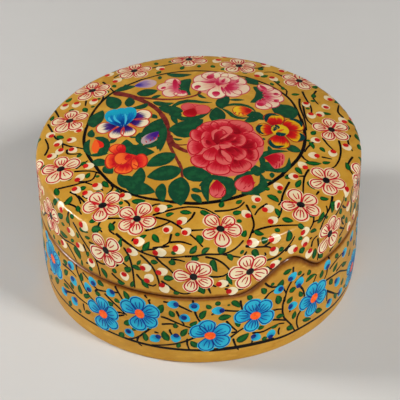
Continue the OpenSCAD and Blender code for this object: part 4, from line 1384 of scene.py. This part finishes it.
dark_folds = [
    ([(5.4, -8), (5.4, -4.6), (7.4, -1.4)], 3), ([(6.8, -7.6), (7.6, -4.6), (9.2, -3)], 2.2),
    ([(12.8, -2.4), (11.4, -0.6), (10, 2.2)], 2.2), ([(8.4, -5.6), (10.4, -4.2), (12.4, -4.4)], 2),
    ([(8, -10.4), (10, -11.4), (11.6, -13.4)], 2.2), ([(6.4, -11.2), (6.8, -13), (8, -15)], 1.7),
    ([(10.6, -15.2), (11.2, -17), (10.8, -18.6)], 1.8),
    ([(14.8, -10.2), (15.4, -12), (14.8, -14.6)], 1.8), ([(14.2, -9), (16, -7.6), (17, -5.4)], 2),
    ([(2.4, -6.4), (3.6, -8.2), (5.4, -8.6)], 1.8),
]
touch_up(dark_folds, as_leaf, 10, 4, dark_fold, 0.092, 0.55)
pale_folds = [
    ([(4.5, -6.4), (4.6, -3), (7.2, -0.6)], 0.7), ([(6.9, -11.2), (8, -13.4), (9.8, -15.6)], 1.5),
    ([(6.6, -6), (8.2, -4.6), (10, -2.4)], 0.8), ([(6.2, -8.8), (8.4, -9.2), (10.4, -8.8)], 1.3),
]
touch_up(pale_folds, as_leaf, 10, 2, shades((214, 96, 90)), 0.098)

# Orange flower
orange = shades((190, 16, 28), (224, 56, 32), (236, 104, 40))
orange_red = shades((190, 16, 26), (216, 34, 36), (230, 70, 40))
orange_line = pigment(184, 26, 26)
orange_ground = [([(-26.8, -13.2), (-17.4, -14.4)], 6.4), ([(-24.4, -7), (-22.6, -18.4)], 4.4)]
touch_up(orange_ground, as_round, 10, 6, shades((208, 44, 32)))
orange_petals = [
    ((-24.2, -10.6), (-25.3, -5.4), 4.3, orange, 0.4),
    ((-22.6, -10.6), (-23.9, -5.9), 2.6, orange_red, 0.7),
    ((-23.6, -13), (-28.1, -13.1), 6.8, orange, 0.66),
    ((-20.2, -14.6), (-15.3, -14.2), 6.2, orange_red, 0.6),
    ((-19.6, -12.4), (-18.8, -18), 2.2, orange, 0.3), ((-22, -14.4), (-22.8, -19.3), 5.6, orange, 0.62),
    ((-19.8, -11.8), (-25.4, -13), 5.8, orange, 0.3),
    ((-21, -10.9), (-21.2, -13.6), 1.9, orange_red, 0.8),
]
lay_petals(orange_petals, orange_line, 0.34)

# Red flower with yellow ends and a yellow middle, set off with dark teal
sunny = shades((170, 10, 18), (200, 26, 20), (214, 166, 18))
sunny_line = pigment(150, 40, 24)
teal = shades((6, 56, 52))
sunny_petals = [
    ((23.8, 1.6), (23.2, 9.2), 6.6), ((26, 0.6), (31.6, 5.8), 6.8), ((26.2, -0.2), (32.2, -3.2), 6),
    ((25, -1.6), (24, -9), 6.8), ((23.8, 0), (17.8, 0), 6.6),
]
lay_petals(sunny_petals, sunny_line, 0.34, sunny, 0.53)
teal_rims = [
    [(20.9, 4), (21.2, 6.8), (22.6, 8.4), (25.4, 8)], [(28, 6.6), (30, 6.6), (31.6, 5), (31.8, 3)],
    [(31, -0.2), (31.9, -1.8), (31.4, -3.4), (30.2, -4.6)],
    [(21.7, -5), (21.9, -7), (23.4, -8.4), (26.2, -7.4)],
    [(19.8, 2.4), (18.4, 1), (18.5, -1.2), (20.2, -2.7)],
]
touch_up([(stroke, 1.5) for stroke in teal_rims], as_leaf, 12, 2, teal, 0.03)
touch_up([([(22.3, 0.2), (27.8, 0.2)], 5.8)], as_round, 10, 6, shades((214, 172, 26)), 0.034)
teal_dots = [
    ([(24.9, 2.2), (23.3, 1.2), (23.2, -0.6)], 2.4), ([(23.7, -1.4), (25.2, -2), (26.8, -1.4)], 2.1),
]
touch_up(teal_dots, as_drop, 8, 2, teal, 0.038)
touch_up([([(24, -0.8), (26.4, 0.9)], 0.9)], as_leaf, 6, 2, shades((212, 96, 26)), 0.042)

# Violet flower with three blue lobes
pansy = shades((40, 10, 88), (64, 32, 108), (234, 216, 180))
pansy_line = pigment(196, 60, 44)
pansy_petals = [
    ((-24.6, 4.6), (-31.4, 3.4), 6), ((-23.2, 3.8), (-26.2, -2.4), 4.7),
    ((-22.2, 3.8), (-20.8, -2.2), 4.8), ((-21.4, 5.6), (-15, 3.6), 5), ((-20.6, 6.8), (-14.6, 9.8), 6),
]
lay_petals(pansy_petals, pansy_line, 0.44, pansy, 0.47)
blue_petal = shades((2, 56, 128), (6, 104, 170), (22, 156, 184))
blue_lobes = [
    [(-23.4, 2.8), (-26.3, 8), (-26.3, 13.7)], [(-22.8, 2.8), (-21.2, 8), (-21.8, 13.9)],
    [(-23.1, 3), (-23.7, 8), (-24, 13.9)],
]
for k, (stroke, width) in enumerate(zip(blue_lobes, (5, 4.8, 4.8))):
    touch_up([(stroke, width)], as_bell, 12, 8, blue_petal, 0.026 + petal_lift * k)
blue_gleams = [
    [(-26, 10.2), (-25.6, 7.6), (-23.7, 5)], [(-22.7, 10.4), (-22.2, 7.4), (-22.5, 4)],
    [(-27.6, 9.6), (-27.4, 8), (-26.4, 6.4)],
]
touch_up([(stroke, 0.8) for stroke in blue_gleams], as_leaf, 8, 2, shades((64, 178, 204)), 0.044)

# Peony and the two blooms beside it, pale with magenta hearts
peony = shades((186, 18, 58), (212, 112, 118), (229, 200, 168))
peony_pale = shades((212, 130, 116), (226, 178, 148), (234, 214, 178))
peony_line = pigment(200, 62, 84)
magenta = shades((186, 18, 58), (196, 36, 74), (210, 88, 108))
touch_up([([(-1, 26), (14, 26)], 15)], as_round, 14, 10, shades((220, 146, 124)), -0.004)
peony_petals = [
    ((6.4, 27.4), (-1, 30.6), 7.6, peony, 0.3), ((6.6, 27.6), (3.2, 34.6), 6.4, peony, 0.34),
    ((7.4, 28), (7.4, 34.8), 5.4, peony_pale, 0.3), ((8.4, 28), (11.8, 33.4), 6.6, peony_pale, 0.3),
    ((9.6, 26.6), (15.2, 29.6), 6.4, peony, 0.32), ((9.6, 24.8), (16.2, 21.6), 7.6, peony, 0.32),
    ((9, 24.4), (12.4, 17.8), 5.8, peony, 0.36), ((6.6, 25.4), (-2, 24), 6.8, peony_pale, 0.4),
    ((6.6, 25), (5.6, 16.3), 6, peony_pale, 0.2), ((6.8, 25), (9.4, 31), 4.6, peony, 0.4),
]
lay_petals(peony_petals, peony_line, 0.34)
peony_hearts = [
    ([(0.9, 24.8), (-0.3, 23.6), (0, 22.2)], 1.9), ([(5.8, 20.9), (5.8, 19.2), (5.6, 17.4)], 2.6),
    ([(6.9, 24.6), (6.2, 27.6), (7, 30.4)], 1.5), ([(5.8, 27.4), (3.6, 27), (1, 27.6)], 1.6),
    ([(9.2, 24.6), (11.2, 26), (12.4, 28.2)], 1.7), ([(9.2, 24), (11.4, 23.4), (13.2, 24.2)], 2),
    ([(8.8, 24), (9.6, 21.4), (10.4, 19)], 1.2), ([(3.4, 29.6), (4.4, 31.4), (5, 33.4)], 2.4),
    ([(8, 26.8), (8.3, 28.4), (8.9, 30)], 1.2), ([(9.6, 22.8), (11.2, 22.2), (12.6, 22.6)], 1.3),
    ([(11.4, 26.8), (12.6, 27.8), (13, 29.6)], 1.4), ([(7.6, 24), (7.9, 21.6), (8.2, 19.6)], 0.8),
]
touch_up(peony_hearts, as_drop, 8, 4, magenta, 0.05)
side_blooms = [
    ((-5.6, 25.4), (-9.4, 30), 5), ((-5.4, 24), (-12.8, 25.4), 5.6), ((-5.4, 22.4), (-10.8, 19.6), 5.6),
    ((-4.8, 22), (-5.6, 18.2), 4.4), ((20.2, 22), (22.4, 26.6), 5.4), ((20.4, 20.6), (26.4, 22.4), 5.6),
    ((20.4, 19), (27.2, 18.2), 5.4), ((20, 17.4), (25, 13.4), 5.6), ((19.4, 16.6), (21.2, 11), 5.4),
]
lay_petals(side_blooms, peony_line, 0.34, peony, 0.34)
side_hearts = [
    ([(-7.2, 30), (-7, 26), (-6.8, 22), (-5.2, 19.4)], 1.8), ([(-11.2, 24.6), (-10.2, 23.6)], 1.9),
    ([(19.9, 26.2), (21.2, 24), (21.6, 21.8)], 1.6), ([(24.2, 21.6), (25.4, 20.2)], 1.9),
    ([(21.6, 18.9), (23, 18.2)], 1.6), ([(24, 16.2), (25.4, 17.6)], 1.6),
    ([(18.8, 12.9), (20, 14.3), (21.4, 15.2)], 2.6), ([(-4.4, 21.6), (-4.5, 19.4)], 2),
]
touch_up(side_hearts, as_bud, 8, 4, magenta, 0.05)

# Buds, of which the first six are outlined, and the fringes of their stalks
rosebud = shades((168, 12, 28), (184, 22, 38), (212, 92, 90))
bud_ground = shades((182, 24, 34), (205, 58, 60), (211, 82, 79))
touch_up([([(-2.5, 5.9), (-1.6, 10), (-0.6, 13.3)], 8.2)], as_bell, 12, 8, bud_ground, -0.002, 0.45)
buds = [
    ((-2.8, 8.2), (3.7, 11), 5.4, shades((186, 26, 36), (206, 60, 62), (211, 84, 80)), 0.3),
    ((-0.6, 9.8), (-4.8, 13), 4, shades((196, 40, 50), (206, 66, 68), (208, 84, 84)), 0.4),
    ((-1.2, 10.6), (-3.3, 6.1), 4.4, shades((158, 6, 18), (170, 10, 22), (192, 30, 40)), 0.7),
    ((16.8, 10.2), (10.8, 8.8), 6, shades((168, 12, 20), (222, 70, 24), (222, 178, 34)), 0.5),
    ((5.2, -24.1), (5.4, -31.4), 4.8, rosebud, 0.46), ((15.4, -21.6), (12, -28.4), 5.6, rosebud, 0.42),
    ((-12, -1), (-16.9, -6.6), 4.3, shades((60, 24, 118), (100, 62, 132), (182, 156, 152)), 0.55),
    ((-20, 27.2), (-13, 28.8), 5.8, shades((70, 52, 140), (148, 118, 160), (196, 164, 164)), 0.5),
    ((-31.5, -1.5), (-31.1, -8.3), 2.4, shades((236, 92, 34)), 0.5),
    ((-31.7, -1.6), (-29, -6), 2.2, shades((214, 34, 24)), 0.5),
]
for k, (base, tip, width, tones, reach) in enumerate(buds):
    outlined_petal(base, tip, width, tones, reach, tones[0] if k < 6 else None, 0.22, k % 3)
touch_up([([(19.5, -13.7), (22.4, -14.2), (25.5, -15.2)], 7.6)], as_bell, 14, 8, rosebud, 0.012, 0.62)
fringe = [
    [(11.8, 8.6), (11.2, 7.4)], [(12.8, 8.2), (12.6, 6.8)], [(13.8, 8.2), (14, 6.9)],
    [(6.4, -30.6), (7.2, -29)], [(4.4, -30.8), (5.6, -29.6)], [(6.8, -29.2), (7.8, -27.8)],
    [(13, -27.6), (13.8, -26.2)], [(14.4, -26.8), (15.2, -25.6)], [(15.8, -25.8), (16.6, -24.4)],
    [(22.9, -18.2), (23.4, -16.4)], [(23.9, -17.8), (24.2, -15.6)], [(24.8, -16.6), (25, -14.4)],
    [(24.1, -15), (24.4, -12.4)], [(25.1, -13.8), (25.2, -11.8)], [(23.1, -15.8), (23.7, -13.8)],
    [(-15.6, -6.2), (-16, -5.2)], [(-14.4, -5.6), (-14.8, -4.6)], [(-13.2, -4.8), (-13.4, -3.8)],
    [(-12, -3.8), (-12.2, -2.6)],
]
for stroke in fringe:
    bouquet_line.mark(stroke, 0.4, as_stroke, 5, 1, shades((180, 20, 40)), lift=0.05)

for paint in (bouquet_petal, bouquet_line):
    paint.dry("lid", petals_paint, "gold_lacquer_lid")

# Floor, soft lights and camera. The floor is a plain pale sheet, and the camera
# looks down at the front of the box as the photograph does.


def light_box(name, place, aim, wide, high, power):
    """A lamp with a rectangular face, turned towards a point."""
    lamp = bpy.data.lights.new(name, "AREA")
    lamp.shape = "RECTANGLE"
    lamp.size, lamp.size_y = wide, high
    lamp.energy = power
    box = bpy.data.objects.new(name, lamp)
    bpy.context.scene.collection.objects.link(box)
    look = (Vector(aim) - Vector(place)).to_track_quat("-Z", "Y")
    box.matrix_world = Matrix.Translation(place) @ look.to_matrix().to_4x4()
    return box


sheet = bmesh.new()
bmesh.ops.create_grid(sheet, x_segments=1, y_segments=1, size=3)
sheet_mesh = bpy.data.meshes.new("floor_sheet")
sheet.to_mesh(sheet_mesh)
sheet.free()
floor_sheet = bpy.data.objects.new("floor_sheet", sheet_mesh)
bpy.context.scene.collection.objects.link(floor_sheet)
paper = Lacquer("pale_paper", 0.0)
greys = paper.stir(paper.mottle(60), pigment(208, 205, 200), pigment(214, 211, 206))
paper.feed(paper.shader.inputs["Base Color"], greys)
paper.feed(paper.shader.inputs["Roughness"], 0.9)
sheet_mesh.materials.append(paper.surface)

world = bpy.data.worlds.new("room")
bpy.context.scene.world = world
world.use_nodes = True
room = world.node_tree.nodes["Background"]
room.inputs["Color"].default_value = (0.97, 0.98, 1.0, 1)
room.inputs["Strength"].default_value = 0.14

box_middle = (0, 0, 0.04)
for side, place, power in (("left", (-0.96, 0.12, 0.53), 1.4), ("right", (0.7, -0.53, 0.88), 1.38)):
    window = light_box("window_" + side, place, box_middle, 0.2, 0.24, power)
    window.data.spread = math.radians(80)
light_box("soft_front", (0, -1.15, 0.7), (0, 0, 0.03), 1.2, 0.8, 7)
# Two windows that show only as gleams in the lacquer
for side, place in (("left", (-0.94, 0.11, 0.52)), ("right", (0.68, -0.52, 0.86))):
    gleam = light_box("gleam_" + side, place, box_middle, 0.54, 0.22, 11)
    gleam.visible_diffuse = False

# Focal length and picture in pixels, how far the camera looks down and leans
lens_px, picture_px, sensor_mm = 1740.9, 400, 36
tilt, roll = math.radians(38.63), math.radians(-1.02)
target = Vector((0, 0, 0.022))
distance = 0.550
camera_data = bpy.data.cameras.new("camera")
camera_data.sensor_width = sensor_mm
camera_data.lens = lens_px / picture_px * sensor_mm
camera_data.shift_x = 0.0012
camera_data.shift_y = 0.0115
camera_data.clip_start = 0.05
camera = bpy.data.objects.new("camera", camera_data)
bpy.context.scene.collection.objects.link(camera)
stand = target + Vector((0, -math.cos(tilt), math.sin(tilt))) * distance
camera.matrix_world = (Matrix.Translation(stand) @ Matrix.Rotation(math.radians(90) - tilt, 4, "X")
                       @ Matrix.Rotation(roll, 4, "Z"))
bpy.context.scene.camera = camera
bpy.context.scene.view_settings.view_transform = "Standard"
